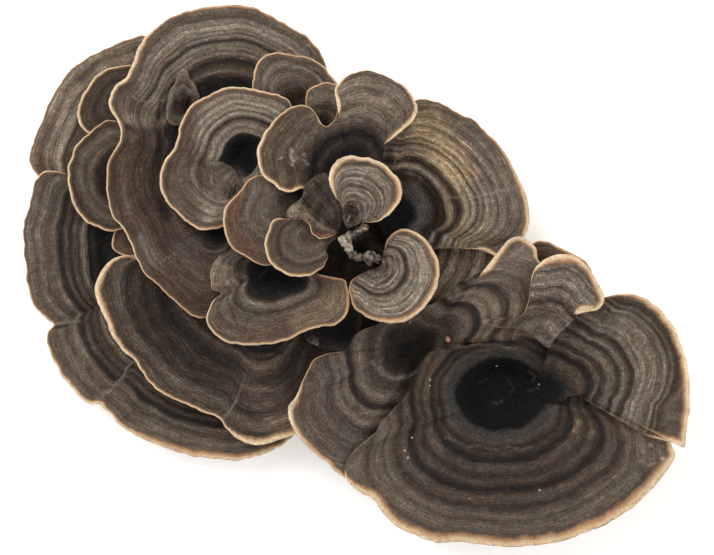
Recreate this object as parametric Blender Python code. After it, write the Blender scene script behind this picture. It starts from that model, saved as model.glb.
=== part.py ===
"""A rosette of turkey tail brackets, cut off flat where it grew on the wood.

Run with: blender --background --python part.py
Each cap is a closed skin drawn out from its hub to its rim. The caps are made from the lowest to the
highest, and each one lies on those below it.
"""

import math
from dataclasses import dataclass

import bmesh
import bpy
import numpy as np
from mathutils import Vector
from mathutils.bvhtree import BVHTree

# Driving dimensions, in metres
CLUSTER_LENGTH = 0.160
CAP_THICKNESS = 0.0019
MARGIN_THICKNESS = 0.0009
LEAST_THICKNESS = 0.0007
GAP = 0.0003
CLEARANCE = 0.0006
BASE_EDGE_HEIGHT = 0.0025
MM = 0.001

# The picture from above: the cluster is PICTURE_LENGTH pixels long, and PICTURE_ORIGIN is the row's origin
PICTURE_LENGTH = 668
PICTURE_ORIGIN = (360, 262)
PIXEL = CLUSTER_LENGTH / PICTURE_LENGTH

# Profiles from the hub to the rim: share of the way out, share of the rise from the hub to the rim
FAN = ((0, 0), (0.22, 0.26), (0.5, 0.66), (0.8, 0.98), (1, 1))
FUNNEL = ((0, 0), (0.16, 0.02), (0.27, 0.62), (0.34, 0.86), (0.6, 0.92), (0.85, 1.08), (1, 1))
HOLLOW = ((0, 0), (0.12, 0.1), (0.3, 0.75), (0.5, 0.95), (0.8, 1.05), (1, 1))
SADDLE = ((0, 0), (0.3, 0.4), (0.6, 0.85), (0.85, 1.1), (1, 1))

DARK_BROWN = (0.085, 0.066, 0.052)
GREY_BROWN = (0.135, 0.112, 0.092)
RED_BROWN = (0.150, 0.095, 0.070)
PALE_GREY = (0.270, 0.235, 0.200)
OLIVE_TAN = (0.200, 0.165, 0.115)
BASE_BROWN = (0.050, 0.042, 0.036)


@dataclass
class Cap:
    """A cap: its rim and hub are pixels across and down the picture, and the height of the top in mm."""

    name: str
    rim: tuple
    hub: tuple
    neck: tuple  # centre in pixels, radius in mm
    colour: tuple
    profile: tuple = FAN
    span: float = 0.0  # pixels that the profile covers, or 0 for the whole way to the rim
    flare: float = 1.7  # how many neck radii the neck spreads to
    crown: float = 0.0  # mm added half way out
    curl: float = 0.5  # mm that the margin turns down
    segments: int = 20
    rings: int = 3
    wave: float = 0.3  # mm


BASE = Cap(
    "base",
    (
        (158, 192, 0), (178, 155, 0), (212, 128, 0), (250, 124, 0), (300, 138, 0), (340, 130, 0),
        (392, 146, 0), (436, 180, 0), (446, 222, 0), (438, 258, 0), (452, 286, 0), (492, 302, 0),
        (532, 314, 0), (562, 345, 0), (562, 398, 0), (538, 440, 0), (492, 448, 0), (450, 426, 0),
        (414, 392, 0), (378, 368, 0), (336, 342, 0), (296, 316, 0), (252, 300, 0), (212, 268, 0),
        (176, 234, 0),
    ),
    (352, 250, 6.5),
    (352, 250, 0.0),
    BASE_BROWN,
    segments=36,
    rings=4,
)
# Bosses on the base: centre in pixels, radius in pixels, height in mm
BASE_BOSSES = (
    (324, 212, 36, 16.0),
    (250, 166, 30, 6.0),
    (373, 254, 13, 8.0),
)

CAPS = (
    Cap(
        "far_left_cap",
        (
            (146, 36, 15), (122, 40, 14.5), (100, 50, 14), (80, 62, 13.5), (62, 80, 13),
            (50, 100, 12.5), (41, 120, 12), (33, 138, 11.5), (29, 155, 11), (31, 168, 10.5),
            (38, 178, 10), (60, 198, 9.5), (95, 215, 9), (135, 228, 8.5), (175, 232, 8.5),
            (200, 216, 9), (201, 185, 10), (195, 150, 11.5), (186, 110, 13), (178, 65, 14.5),
            (163, 43, 15),
        ),
        (186, 190, 10),
        (188, 190, 5.0),
        GREY_BROWN,
        flare=2.3,
        segments=30,
        rings=4,
    ),
    Cap(
        "lower_left_cap",
        (
            (68, 174, 14), (55, 171, 14.5), (43, 171.5, 14.5), (34, 181, 14.5), (29, 197, 14.5),
            (27, 210, 14.5), (22, 226, 14.5), (23, 245, 14), (25, 265, 13.5), (27, 285, 13),
            (33, 304, 12.5), (45, 319, 12), (52, 325, 11), (47, 332, 11.5), (46, 344, 11.5),
            (53, 361, 11.5), (65, 381, 11.5), (79, 398, 11), (89, 405.5, 11), (98, 405, 10.5),
            (106, 410, 11), (121, 427.5, 11), (142, 440, 10.5), (170, 451.5, 10.5), (200, 458.5, 10),
            (235, 461.5, 10), (263, 454.5, 9.5), (284, 444, 9.5), (307, 415, 9.5), (312, 370, 9.5),
            (312, 320, 9.5), (306, 275, 10), (286, 238, 10.5), (252, 218, 11), (205, 205, 11),
            (150, 198, 12.5), (105, 185, 13.5),
        ),
        (246, 250, 10.5),
        (246, 252, 7.0),
        GREY_BROWN,
        flare=2.3,
        segments=37,
        rings=5,
    ),
    Cap(
        "small_left_cap",
        (
            (131, 66.5, 18), (120, 67, 18), (108, 69.5, 17.5), (97, 75, 17.5), (88, 86, 17),
            (81, 99, 16.5), (78, 114, 16), (80, 126, 16), (88, 133, 16), (100, 134, 16.5),
            (115, 128, 17), (130, 118, 18), (138, 102, 18.5), (138, 82, 18.5),
        ),
        (126, 98, 17.5),
        (124, 98, 2.0),
        DARK_BROWN,
        segments=18,
    ),
    Cap(
        "tiny_left_cap",
        (
            (116, 229, 17), (112, 237, 16.5), (111, 246, 16.5), (116, 253, 16.5), (124, 256, 17),
            (135, 256, 17.5), (145, 250, 17.5), (148, 238, 17.5), (140, 228, 17.5), (127, 224, 17.5),
        ),
        (132, 242, 17),
        (134, 242, 1.4),
        RED_BROWN,
        segments=12,
        wave=0.1,
    ),
    Cap(
        "left_ear_cap",
        (
            (118, 121, 19.5), (109, 119.5, 19.5), (98, 124, 19.5), (87, 133, 19.5), (76, 145, 19.5),
            (69, 160, 19.5), (67, 177, 19.5), (71, 195, 19.5), (79, 212, 19.5), (90, 224, 19.5),
            (102, 230, 19.5), (114, 232, 19.5), (128, 226, 19.5), (140, 210, 19.5), (144, 185, 19.5),
            (142, 155, 20), (133, 132, 20),
        ),
        (126, 178, 18.5),
        (126, 178, 2.6),
        DARK_BROWN,
        segments=20,
    ),
    Cap(
        "wide_lower_cap",
        (
            (138, 257, 20), (127, 255, 20), (114, 258, 19.5), (104, 265, 19.5), (98, 276, 19),
            (96, 290, 18.5), (99, 307, 18.5), (106, 323, 18), (112, 337, 17.5), (122, 350, 17),
            (136, 363, 17), (147, 379, 16.5), (160, 392, 16.5), (180, 403, 16), (202, 413, 16),
            (221, 420, 15.5), (226, 429, 15.5), (240, 440, 15.5), (260, 445, 15), (280, 440, 15),
            (296, 434, 15), (316, 412, 15), (330, 372, 15), (342, 345, 15), (332, 302, 15.5),
            (308, 264, 16.5), (290, 246, 17.5), (264, 236, 18.5), (235, 237, 19), (200, 243, 20),
            (168, 250, 20),
        ),
        (262, 278, 15.5),
        (264, 280, 6.0),
        DARK_BROWN,
        flare=2.3,
        segments=32,
        rings=4,
        crown=-0.6,
    ),
    Cap(
        "dark_tucked_cap",
        (
            (334, 352, 18), (318, 348, 18), (308, 342, 18), (302, 330, 18), (305, 314, 18),
            (322, 300, 18), (346, 298, 18), (358, 308, 18), (361, 328, 18), (354, 344, 18),
            (344, 352, 18),
        ),
        (340, 325, 17.5),
        (342, 322, 2.0),
        DARK_BROWN,
        segments=14,
        wave=0.1,
    ),
    Cap(
        "under_right_cap",
        (
            (505, 240, 13), (508, 255, 13), (505, 270, 13), (498, 285, 13), (480, 295, 12.5),
            (455, 300, 12), (425, 300, 11), (408, 288, 10), (400, 272, 9), (398, 250, 9),
            (404, 226, 9), (422, 214, 9), (460, 215, 11), (490, 225, 12.5),
        ),
        (426, 250, 9),
        (424, 248, 4.0),
        DARK_BROWN,
        segments=20,
    ),
    Cap(
        "tan_right_cap",
        (
            (412, 101, 19.5), (420, 98.5, 19.5), (433, 100.5, 19), (447, 106, 19), (458, 114, 18.5),
            (472, 119, 18.5), (484, 128, 18.5), (494, 138, 18.5), (504, 150.5, 18), (513, 164.5, 18),
            (519, 181.5, 18), (526, 197, 18), (529.5, 213, 18), (527.5, 229, 18), (521, 241, 18),
            (510, 251, 17.5), (498, 256.5, 17.5), (487, 250.5, 17.5), (470, 249, 17),
            (452, 248, 16), (436, 248.5, 14.5), (420, 252, 13), (402, 252, 12.5), (386, 240, 12.5),
            (374, 218, 13), (370, 190, 14), (372, 160, 16), (384, 132, 18.5),
        ),
        (402, 221, 11),
        (402, 222, 5.0),
        OLIVE_TAN,
        profile=SADDLE,
        span=122,
        flare=2.3,
        segments=30,
        rings=5,
    ),
    Cap(
        "back_right_cap",
        (
            (533, 243, 18.5), (545, 241, 18.5), (557, 246, 19), (570, 252.5, 19.5), (582, 258.5, 19.5),
            (587, 263, 19.5), (592, 275, 19.5), (590, 290, 19.5), (582, 303, 18.5), (570, 313, 17.5),
            (555, 327, 15), (540, 342, 12.5), (526, 336, 12), (520, 318, 13), (523, 295, 15),
            (528, 265, 17),
        ),
        (541, 320, 12),
        (538, 326, 2.6),
        DARK_BROWN,
        segments=18,
    ),
    Cap(
        "fan_lobed_cap",
        (
            (374, 325, 20), (361, 330.5, 20), (351.5, 340, 20), (345, 350, 20),
            (330, 353, 20), (316, 358.5, 19.5), (309, 368, 19.5), (302, 385, 19), (295, 398, 19),
            (288.5, 407, 18.5), (290, 420, 18.5), (296, 434, 18), (309, 449, 17.3), (325, 462, 16.6),
            (338, 473, 16.3), (353, 480, 14.8), (372, 464, 14), (388, 446, 13.5), (408, 430, 13.5),
            (428, 415, 13.5), (440, 402, 13.5), (446, 384, 13.5), (450, 366, 13.5), (464, 350, 14.5),
            (482, 343.5, 15.5), (502, 342, 15.5), (522, 342.5, 16.5), (541, 338, 17.5),
            (553, 322, 19), (555, 300, 20.5), (549, 281, 21), (541, 266, 21.5), (537, 258, 22),
            (536, 249, 22.5), (528, 240, 22.5), (518, 236, 22.5), (508, 240, 22.5), (500, 250, 22.5),
            (489, 266, 22), (473, 275.5, 21.5), (457, 284, 21), (441, 300, 20.5), (425, 307, 20),
            (400, 312, 20), (386, 318, 20),
        ),
        (425, 345, 10.5),
        (425, 345, 5.0),
        GREY_BROWN,
        profile=HOLLOW,
        span=140,
        flare=2.3,
        segments=44,
        rings=5,
    ),
    Cap(
        "funnel_cap",
        (
            (449, 351, 17), (438, 350, 17), (429, 353, 17), (421, 362, 17), (415, 375, 17),
            (411, 388, 17), (405, 398, 17.5), (396, 406, 17.5), (389, 415, 17.5), (381, 422, 18),
            (377, 430, 18), (368, 439, 18), (357, 448, 18), (348, 459, 17.3), (345, 473, 17),
            (351, 485, 17), (362, 493, 17), (375, 502, 17), (383, 514, 17), (395, 525.5, 17),
            (411, 534.5, 16.5), (431, 541, 16.5), (455, 542.5, 16), (480, 544.5, 16), (505, 547, 16),
            (530, 546, 16), (555, 542.5, 16), (582, 534.5, 16), (606, 524.5, 16.5), (626, 513, 16.5),
            (643, 497, 17), (660, 481.5, 17), (669, 469, 17), (675, 456, 17), (673, 446, 17),
            (660, 430, 16), (640, 414, 15), (618, 401, 14.5), (598, 388, 14), (581, 377, 13.5),
            (567, 363, 14), (555, 346, 16), (530, 338, 18.5), (505, 341.5, 18.5), (480, 343.5, 18.5),
            (462, 347, 18),
        ),
        (502, 395, 7.5),
        (502, 395, 6.0),
        DARK_BROWN,
        profile=FUNNEL,
        span=152,
        flare=2.3,
        segments=46,
        rings=5,
    ),
    Cap(
        "far_right_cap",
        (
            (604, 297, 21), (615, 294.5, 21), (632, 294, 21), (648, 300, 21), (662, 311, 21),
            (672, 324, 21), (680, 343, 21), (686.5, 366, 21), (690.5, 388, 21), (689, 412, 21),
            (686.5, 430, 21), (684, 448, 20.5), (677, 444, 20), (664, 440.5, 20), (648, 436, 20),
            (632, 428, 19.5), (616, 418, 19.5), (602, 409, 19), (588, 400, 18.5), (572, 395, 17.5),
            (561, 402, 16.5), (549, 402, 15.5), (540, 391, 15.5), (540, 374, 17), (547, 357, 19.5),
            (552, 336, 20), (560, 322, 20), (572, 308, 20.5), (590, 300, 21),
        ),
        (557, 383, 15.5),
        (558, 383, 2.2),
        GREY_BROWN,
        profile=SADDLE,
        span=136,
        segments=30,
        rings=5,
    ),
    Cap(
        "tongue_cap",
        (
            (484, 322, 22.5), (502, 317.5, 22.5), (520, 316.5, 23), (527, 303, 24), (530, 288, 24),
            (532, 274, 24.5), (539, 262, 25), (551, 255.5, 25), (564, 254, 25), (577, 258.5, 25),
            (587, 267, 25), (596, 279, 25), (603, 291, 25), (604, 302, 25), (598, 309.5, 24.5),
            (582, 310.5, 24), (574, 319, 24), (566, 329, 23.5), (555, 339, 23), (549, 349, 22.5),
            (540, 343, 22.5), (528, 333, 22.5), (512, 328.5, 22.5), (496, 327, 22.5),
        ),
        (540, 321, 23),
        (542, 320, 2.6),
        GREY_BROWN,
        segments=24,
        rings=4,
    ),
    Cap(
        "big_upper_cap",
        (
            (335, 84, 21.5), (328, 70, 21.5), (320, 50, 21), (306, 37, 21), (288, 25, 21),
            (268, 14, 21), (249, 7, 20.5), (228, 5.5, 20.5), (206, 7, 20.5), (188, 11, 20.5),
            (172, 17, 21), (155, 30, 21), (143, 41, 21), (136, 55, 21), (130, 71, 21),
            (122, 80, 21), (113, 87, 21), (109, 102, 21), (112, 113, 21.5), (118, 121, 22),
            (121, 134, 22.5), (118, 146, 22.5), (110, 157, 22.5), (106, 176, 22.5), (107, 197, 22.5),
            (113, 217, 22.5), (125, 229, 22.5), (131, 244, 23), (136, 258, 23.5), (143, 272, 24),
            (160, 286, 24), (180, 306, 24), (194, 317, 24), (207, 318, 24), (222, 305, 24),
            (232, 280, 24), (240, 252, 24), (256, 222, 23.5), (272, 194, 23), (284, 168, 22.5),
            (305, 148, 22.5), (335, 140, 22.5), (348, 122, 22), (346, 100, 21.5),
        ),
        (235, 165, 18.5),
        (235, 165, 6.0),
        DARK_BROWN,
        profile=SADDLE,
        span=150,
        flare=2.3,
        segments=44,
        rings=5,
    ),
    Cap(
        "upper_back_cap",
        (
            (253, 92, 24.5), (252.5, 80, 24.5), (254, 70, 24.5), (259, 61, 24.5), (268, 54, 24.5),
            (280, 51, 24.5), (292, 54.5, 24.5), (305, 57.5, 24.5), (317, 62.5, 24.5), (327, 72, 24.5),
            (335, 83, 25), (342, 98, 25), (336, 118, 25), (318, 128, 25), (295, 130, 25),
            (272, 122, 25), (258, 108, 25),
        ),
        (298, 106, 24),
        (298, 108, 2.6),
        GREY_BROWN,
        segments=20,
    ),
    Cap(
        "upper_middle_cap",
        (
            (292, 107, 27.5), (289, 101.5, 27.5), (279, 96.5, 27.5), (264, 92, 27.5), (248, 88.5, 27),
            (232, 86.5, 26.5), (219, 89.5, 26.5), (206, 97, 26.5), (194, 104, 26.5), (186, 113, 26.5),
            (180, 124, 26.5), (177, 138, 26.5), (174, 149, 26.5), (166, 160, 26.5), (161, 174, 26.5),
            (161, 188, 26.5), (166, 200, 26.5), (178, 214, 26.5), (190, 224, 27), (203, 230, 27.5),
            (214, 229, 27.5), (224, 226, 27.5), (242, 218, 27.5), (260, 205, 27.5), (272, 188, 27.5),
            (278, 168, 27.5), (288, 150, 27.5), (300, 132, 27.5), (300, 118, 27.5),
        ),
        (248, 158, 22.5),
        (248, 160, 4.0),
        GREY_BROWN,
        profile=HOLLOW,
        segments=30,
        rings=4,
    ),
    Cap(
        "tucked_cap",
        (
            (306, 108, 27), (306, 100, 27), (308, 92, 27), (316, 86, 27), (326, 83, 27),
            (335, 83.5, 27), (345, 90, 27), (350, 105, 27.5), (345, 122, 27.5), (330, 131, 27.5),
            (314, 128, 27.5), (307, 118, 27.5),
        ),
        (330, 112, 26.5),
        (330, 112, 1.8),
        GREY_BROWN,
        segments=14,
        wave=0.1,
    ),
    Cap(
        "knobbly_lower_cap",
        (
            (232, 250, 27.5), (222, 254, 27.5), (214, 264, 27.5), (210.5, 278, 27.5), (213, 289, 27.5),
            (221, 293, 26.5), (213, 301, 27), (208, 312, 27), (206, 321, 27), (213, 333, 26.5),
            (226, 341, 26.5), (243, 345, 26.5), (262, 345, 26.5), (282, 341, 26), (300, 335, 26),
            (318, 328, 26), (335, 323.5, 26), (345, 317, 26.5), (350, 304, 26.5), (349.5, 290, 26.5),
            (345, 280.5, 26.5), (332, 277, 26.5), (318, 273, 26.5), (304, 261, 26.5), (292, 246, 26.5),
            (270, 238, 27), (250, 242, 27.5),
        ),
        (276, 266, 22.5),
        (274, 266, 4.0),
        GREY_BROWN,
        profile=HOLLOW,
        segments=28,
        rings=4,
    ),
    Cap(
        "red_brown_cap",
        (
            (264, 176, 30), (256, 176, 30), (249, 180, 30), (242, 190, 30), (232, 199, 30),
            (224.5, 207.5, 30), (223, 219, 30), (226, 234, 30), (232, 247, 30),
            (243, 255, 30), (255, 261, 30), (269, 265, 30), (284, 256, 30), (294, 240, 30),
            (303, 222, 30), (312, 204, 30), (308, 188, 30), (295, 181, 30), (278, 178, 30),
        ),
        (292, 208, 30),
        (296, 206, 3.0),
        RED_BROWN,
        segments=20,
    ),
    Cap(
        "round_middle_cap",
        (
            (274, 221, 33), (268, 229, 33), (264.5, 241, 33), (265, 253, 33), (271, 264, 33),
            (281, 272, 33), (292, 276.5, 33), (304, 277, 33), (316, 273, 33),
            (325, 265, 33), (328.5, 257, 33), (327, 250, 33), (331, 243, 33),
            (339, 236, 33), (338, 228, 33), (322, 224, 33), (306, 222, 33), (290, 219.5, 33),
        ),
        (316, 241, 32.5),
        (325, 238, 2.2),
        RED_BROWN,
        segments=20,
    ),
    Cap(
        "twin_lobed_cap",
        (
            (383, 158, 32.5), (385, 147, 32.5), (394, 138, 32.5), (403, 130.5, 32.5), (412, 122, 32.5),
            (417, 110, 32.5), (415, 101, 32.5), (408, 92, 32.5), (398, 83, 32.5), (384, 76.5, 32.5),
            (366, 71.5, 32.5), (352, 75, 32.5), (341.5, 80.5, 32.5), (335.5, 88, 32.5), (335, 95, 32.5),
            (338, 103, 32.5), (338, 113, 32), (334, 121.5, 32), (326, 127, 32),
            (320.5, 123.5, 32), (317, 116, 32), (311, 109.5, 32), (301, 106.5, 32),
            (289, 108.5, 32), (280, 115, 32), (270, 128, 32), (262, 140, 32),
            (257, 150, 32), (258, 162, 32.5), (262, 175, 32.5), (271, 183, 33), (281, 190, 33),
            (290, 193, 33), (298, 190, 33), (312, 192, 33), (330, 196, 33), (348, 198, 33),
            (366, 190, 33), (378, 175, 33),
        ),
        (350, 171, 30.5),
        (350, 172, 4.0),
        PALE_GREY,
        segments=38,
        rings=4,
    ),
    Cap(
        "kidney_cap",
        (
            (383, 253, 29), (387, 240, 29), (395, 232, 29), (406, 228.5, 29), (418, 232.5, 29),
            (428, 242, 29), (435.5, 254, 29), (438.5, 268, 29), (437.5, 284, 29), (431, 299, 29),
            (420, 310.5, 29), (406, 320, 29), (393, 323, 29), (379, 320.5, 29), (365, 315, 29),
            (354, 306, 29), (350.5, 294, 29), (351, 282, 29), (360, 274.5, 29), (370, 270, 29),
            (378, 266.5, 29),
        ),
        (387, 266, 28.5),
        (386, 266, 2.6),
        PALE_GREY,
        crown=0.8,
        segments=22,
    ),
    Cap(
        "knobbly_centre_cap",
        (
            (303, 196.5, 35.3), (293, 205, 35.5), (287.5, 212, 35.5), (290, 218.5, 35.5), (302, 220.5, 35.5),
            (309.5, 226, 35.5), (312, 234, 35), (320, 239.5, 35), (329, 237.5, 35),
            (337, 233, 35.5), (343, 222, 35.5), (344, 206, 35.5), (341, 190, 36), (334, 178, 36),
            (323, 175, 36), (312, 180, 35.9), (305, 188, 35.6),
        ),
        (322, 210, 35.5),
        (332, 210, 1.6),
        DARK_BROWN,
        crown=0.6,
        segments=18,
    ),
    Cap(
        "top_centre_cap",
        (
            (329, 178, 37.5), (331.5, 169, 37.5), (338, 162, 37.5), (349, 157.5, 37.5), (362, 157.5, 37.5),
            (375, 161, 37.5), (388, 170, 37.5), (396, 179, 37.5), (400.5, 190, 37.5), (399, 203, 37.5),
            (392, 213, 37.5), (382, 220, 37.5), (372, 223, 37.5), (362, 222, 37.5), (356, 225, 37.5),
            (349, 229, 37.5), (344, 222, 37.5), (342.5, 214, 37.5), (340, 205, 37.5), (334, 197, 37.5),
            (330, 188, 37.5),
        ),
        (360, 200, 36.5),
        (358, 214, 1.8),
        PALE_GREY,
        crown=0.6,
        segments=20,
    ),
)

# Lumps at the middle: centre in pixels, height of the centre in mm, radius in pixels
BUDS = (
    (359, 231, 35.8, 4.6),
    (365, 228, 35.4, 4.4),
    (351, 236, 35.4, 5.0),
    (344, 241, 36.2, 6.0),
    (349, 248.5, 36.4, 5.0),
    (353, 255, 35.8, 4.4),
    (359, 257, 34.8, 4.6),
    (369, 258, 33.6, 7.6),
    (378, 259, 32.6, 4.2),
)
BUD_STALK = (347, 241, 1.4, 36.2)  # centre in pixels, radius and height in mm


def clear_scene():
    for obj in list(bpy.data.objects):
        bpy.data.objects.remove(obj, do_unlink=True)


def place(x, y):
    """The place in metres of a pixel of the picture."""
    return (x - PICTURE_ORIGIN[0]) * PIXEL, (PICTURE_ORIGIN[1] - y) * PIXEL


def places(points):
    """Points of the picture with heights in mm, as an array in metres."""
    return np.array([(*place(x, y), z * MM) for x, y, z in points])


def closed_curve(points, count):
    """A smooth closed curve through the points, counter-clockwise seen from above."""
    after = np.roll(points, -1, axis=0)
    if (points[:, 0] * after[:, 1] - after[:, 0] * points[:, 1]).sum() < 0:
        points = points[::-1]
    n = len(points)
    step = np.linalg.norm(np.roll(points, -1, axis=0) - points, axis=1)[:, None]
    slope = (np.roll(points, -1, axis=0) - points) / step
    before, last = np.roll(step, 1, axis=0), np.roll(slope, 1, axis=0)
    tangent = (slope * before + last * step) / (step + before)
    t = np.arange(count) * n / count
    i = t.astype(int)
    f = (t - i)[:, None]
    j = (i + 1) % n
    return (
        (2 * f**3 - 3 * f**2 + 1) * points[i]
        + (f**3 - 2 * f**2 + f) * step[i] * tangent[i]
        + (3 * f**2 - 2 * f**3) * points[j]
        + (f**3 - f**2) * step[i] * tangent[j]
    )


def smoothstep(low, high, value):
    t = np.clip((value - low) / (high - low), 0, 1)
    return t * t * (3 - 2 * t)


def profile_at(profile, share):
    """The profile's rise at a share of the way out, through its points with no corners."""
    x, y = np.array(profile, float).T
    slope = np.gradient(y, x)
    i = np.clip(np.searchsorted(x, share) - 1, 0, len(x) - 2)
    h = x[i + 1] - x[i]
    f = (share - x[i]) / h
    return (
        (2 * f**3 - 3 * f**2 + 1) * y[i]
        + (f**3 - 2 * f**2 + f) * h * slope[i]
        + (3 * f**2 - 2 * f**3) * y[i + 1]
        + (f**3 - f**2) * h * slope[i + 1]
    )


def skins(cap, shares, count):
    """The top and the underside of a cap, as arrays of points: one row for each share of the way out."""
    rim = closed_curve(places(cap.rim), count)
    hub = places([cap.hub])[0]
    spoke = rim[:, :2] - hub[:2]
    reach = np.hypot(spoke[:, 0], spoke[:, 1])
    direction = spoke / reach[:, None]
    around = np.arctan2(spoke[:, 1], spoke[:, 0])
    window = max(1, count // 16)
    even = sum(np.roll(reach, k) for k in range(-window, window + 1)) / (2 * window + 1)
    seed = sum(ord(letter) for letter in cap.name)
    waves = sum(np.sin(n * around + seed * n) / n**0.5 for n in (3, 5, 8)) * cap.wave * MM
    share = np.array(shares)[:, None]
    blend = smoothstep(0.3, 1.0, share)
    far = share * ((1 - blend) * np.minimum(even, reach * 1.15) + blend * reach)
    top = np.empty((len(shares), count, 3))
    top[..., :2] = hub[:2] + far[..., None] * direction
    if cap.span:
        rise = profile_at(cap.profile, np.minimum(far / (cap.span * PIXEL), 1))
        rise = rise / profile_at(cap.profile, np.minimum(reach / (cap.span * PIXEL), 1))
    else:
        rise = profile_at(cap.profile, share)
    top[..., 2] = hub[2] + (rim[:, 2] - hub[2]) * rise + waves * share**2
    top[..., 2] += cap.crown * MM * 4 * share * (1 - share) - cap.curl * MM * share**6
    under = top.copy()
    thick = CAP_THICKNESS + (MARGIN_THICKNESS - CAP_THICKNESS) * share
    under[..., 2] -= np.where(share < 1, thick, 0)
    return top, under


def height_below(x, y, trees):
    """The height of the highest of the lower pieces under a place, or 0."""
    best = 0.0
    for tree in trees:
        hit = tree.ray_cast(Vector((x, y, 1.0)), Vector((0, 0, -1)))[0]
        if hit is not None:
            best = max(best, hit.z)
    return best


def lay(cap, top, under, trees):
    """Draws the neck down to what is below it, and lifts the rest clear of the lower pieces."""
    centre = np.array(place(*cap.neck[:2]))
    radius = cap.neck[2] * MM
    ring = np.linspace(0, 2 * math.pi, 13)
    foot = [(0, 0)] + [(radius * math.cos(a), radius * math.sin(a)) for a in ring]
    floor = max(height_below(centre[0] + x, centre[1] + y, trees) for x, y in foot) + GAP
    far = np.hypot(*np.moveaxis(under[..., :2] - centre, -1, 0))
    neck = (1 - smoothstep(radius, cap.flare * radius, far)) ** 2
    under[..., 2] += (np.minimum(floor, under[..., 2]) - under[..., 2]) * neck
    last = len(under) - 1
    for i, row in enumerate(under):
        for j, point in enumerate(row):
            least = height_below(point[0], point[1], trees)
            least += GAP if far[i, j] <= radius else CLEARANCE
            point[2] = max(point[2], least)
            if i == last:
                top[i, j, 2] = point[2] = max(top[i, j, 2], point[2] + LEAST_THICKNESS)
            else:
                top[i, j, 2] = max(top[i, j, 2], point[2] + LEAST_THICKNESS)


def material(name, colour, roughness):
    made = bpy.data.materials.new(name)
    made.use_nodes = True
    shader = made.node_tree.nodes["Principled BSDF"]
    shader.inputs["Base Color"].default_value = (*colour, 1)
    shader.inputs["Roughness"].default_value = roughness
    shader.inputs["Metallic"].default_value = 0
    return made


def sphere_of(name, segments, rings):
    """A sphere, with the place of each vertex on it: its meridian, and its ring counted from the top."""
    bm = bmesh.new()
    bmesh.ops.create_uvsphere(bm, u_segments=segments, v_segments=2 * rings, radius=1)
    places_on = []
    for vertex in bm.verts:
        turn = (math.atan2(vertex.co.y, vertex.co.x) - math.pi / 2) / (2 * math.pi)
        ring = round(math.acos(max(-1, min(1, vertex.co.z))) / math.pi * 2 * rings)
        places_on.append((round(turn * segments) % segments, ring))
    return bm, places_on


def finished(name, bm, colour, collection, roughness=0.85):
    mesh = bpy.data.meshes.new(name)
    bm.to_mesh(mesh)
    bm.free()
    mesh.polygons.foreach_set("use_smooth", [True] * len(mesh.polygons))
    mesh.materials.append(material(name, colour, roughness))
    obj = bpy.data.objects.new(name, mesh)
    collection.objects.link(obj)
    return obj


def shares_out(rings, bend):
    """Shares of the way out, from the hub at 0 to the rim at 1. A bend over 1 draws them to the rim."""
    return [1 - (1 - k / rings) ** bend for k in range(rings + 1)]


def cap_object(cap, trees, collection):
    """The cap, laid on the pieces in trees."""
    bm, on = sphere_of(cap.name, cap.segments, cap.rings)
    top = skins(cap, shares_out(cap.rings, 1.5), cap.segments)[0]
    under = skins(cap, shares_out(cap.rings, 1.15), cap.segments)[1]
    lay(cap, top, under, trees)
    top[0, :, 2] = top[0, :, 2].max()
    under[0, :, 2] = under[0, :, 2].max()
    for vertex, (j, ring) in zip(bm.verts, on):
        vertex.co = top[ring, j] if ring <= cap.rings else under[2 * cap.rings - ring, j]
    return finished(cap.name, bm, cap.colour, collection)


def base_object(collection):
    """The fused tissue under the caps: a low mound with bosses, flat underneath."""
    bm, on = sphere_of(BASE.name, BASE.segments, BASE.rings)
    shares = shares_out(BASE.rings, 1.3)
    top = skins(BASE, shares, BASE.segments)[0]
    share = np.array(shares)[:, None]
    top[..., 2] = BASE_EDGE_HEIGHT + (BASE.hub[2] * MM - BASE_EDGE_HEIGHT) * (1 - share**4)
    for x, y, radius, height in BASE_BOSSES:
        far = np.hypot(*np.moveaxis(top[..., :2] - np.array(place(x, y)), -1, 0))
        top[..., 2] += height * MM * np.exp(-((far / (radius * PIXEL)) ** 2)) * (1 - share**6)
    hub = top[0, 0, :2]
    for vertex, (j, ring) in zip(bm.verts, on):
        if ring <= BASE.rings:
            vertex.co = top[ring, j]
        else:
            inward = shares[2 * BASE.rings - ring] * 0.985 / shares[BASE.rings - 1]
            vertex.co = (*(hub + (top[-1, j, :2] - hub) * min(inward, 0.985)), 0)
    return finished(BASE.name, bm, BASE.colour, collection)


def bud_object(trees, collection, helpers):
    """The lumps at the middle, on one stalk, joined into one body."""
    x, y = place(*BUD_STALK[:2])
    radius = BUD_STALK[2] * MM
    ring = [k * math.pi / 4 for k in range(8)]
    low = max(height_below(x + radius * math.cos(a), y + radius * math.sin(a), trees) for a in ring) + GAP
    high = BUD_STALK[3] * MM
    bm = bmesh.new()
    bmesh.ops.create_cone(bm, cap_ends=True, segments=8, radius1=radius, radius2=radius * 0.8, depth=1)
    for vertex in bm.verts:
        vertex.co = (vertex.co.x + x, vertex.co.y + y, low + (vertex.co.z + 0.5) * (high - low))
    buds = finished("bud_cluster", bm, PALE_GREY, collection)
    for k, (px, py, height, size) in enumerate(BUDS):
        bm = bmesh.new()
        bmesh.ops.create_uvsphere(bm, u_segments=7, v_segments=4, radius=size * PIXEL * 1.12)
        bmesh.ops.translate(bm, verts=bm.verts, vec=(*place(px, py), height * MM))
        lump = finished(f"lump_{k}", bm, PALE_GREY, helpers)
        lump.hide_render = True
        lump.display_type = "WIRE"
        join = buds.modifiers.new(f"lump_{k}", "BOOLEAN")
        join.operation = "UNION"
        join.solver = "EXACT"
        join.object = lump
    return buds


def tree_of(obj):
    graph = bpy.context.evaluated_depsgraph_get()
    return BVHTree.FromObject(obj, graph)


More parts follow.
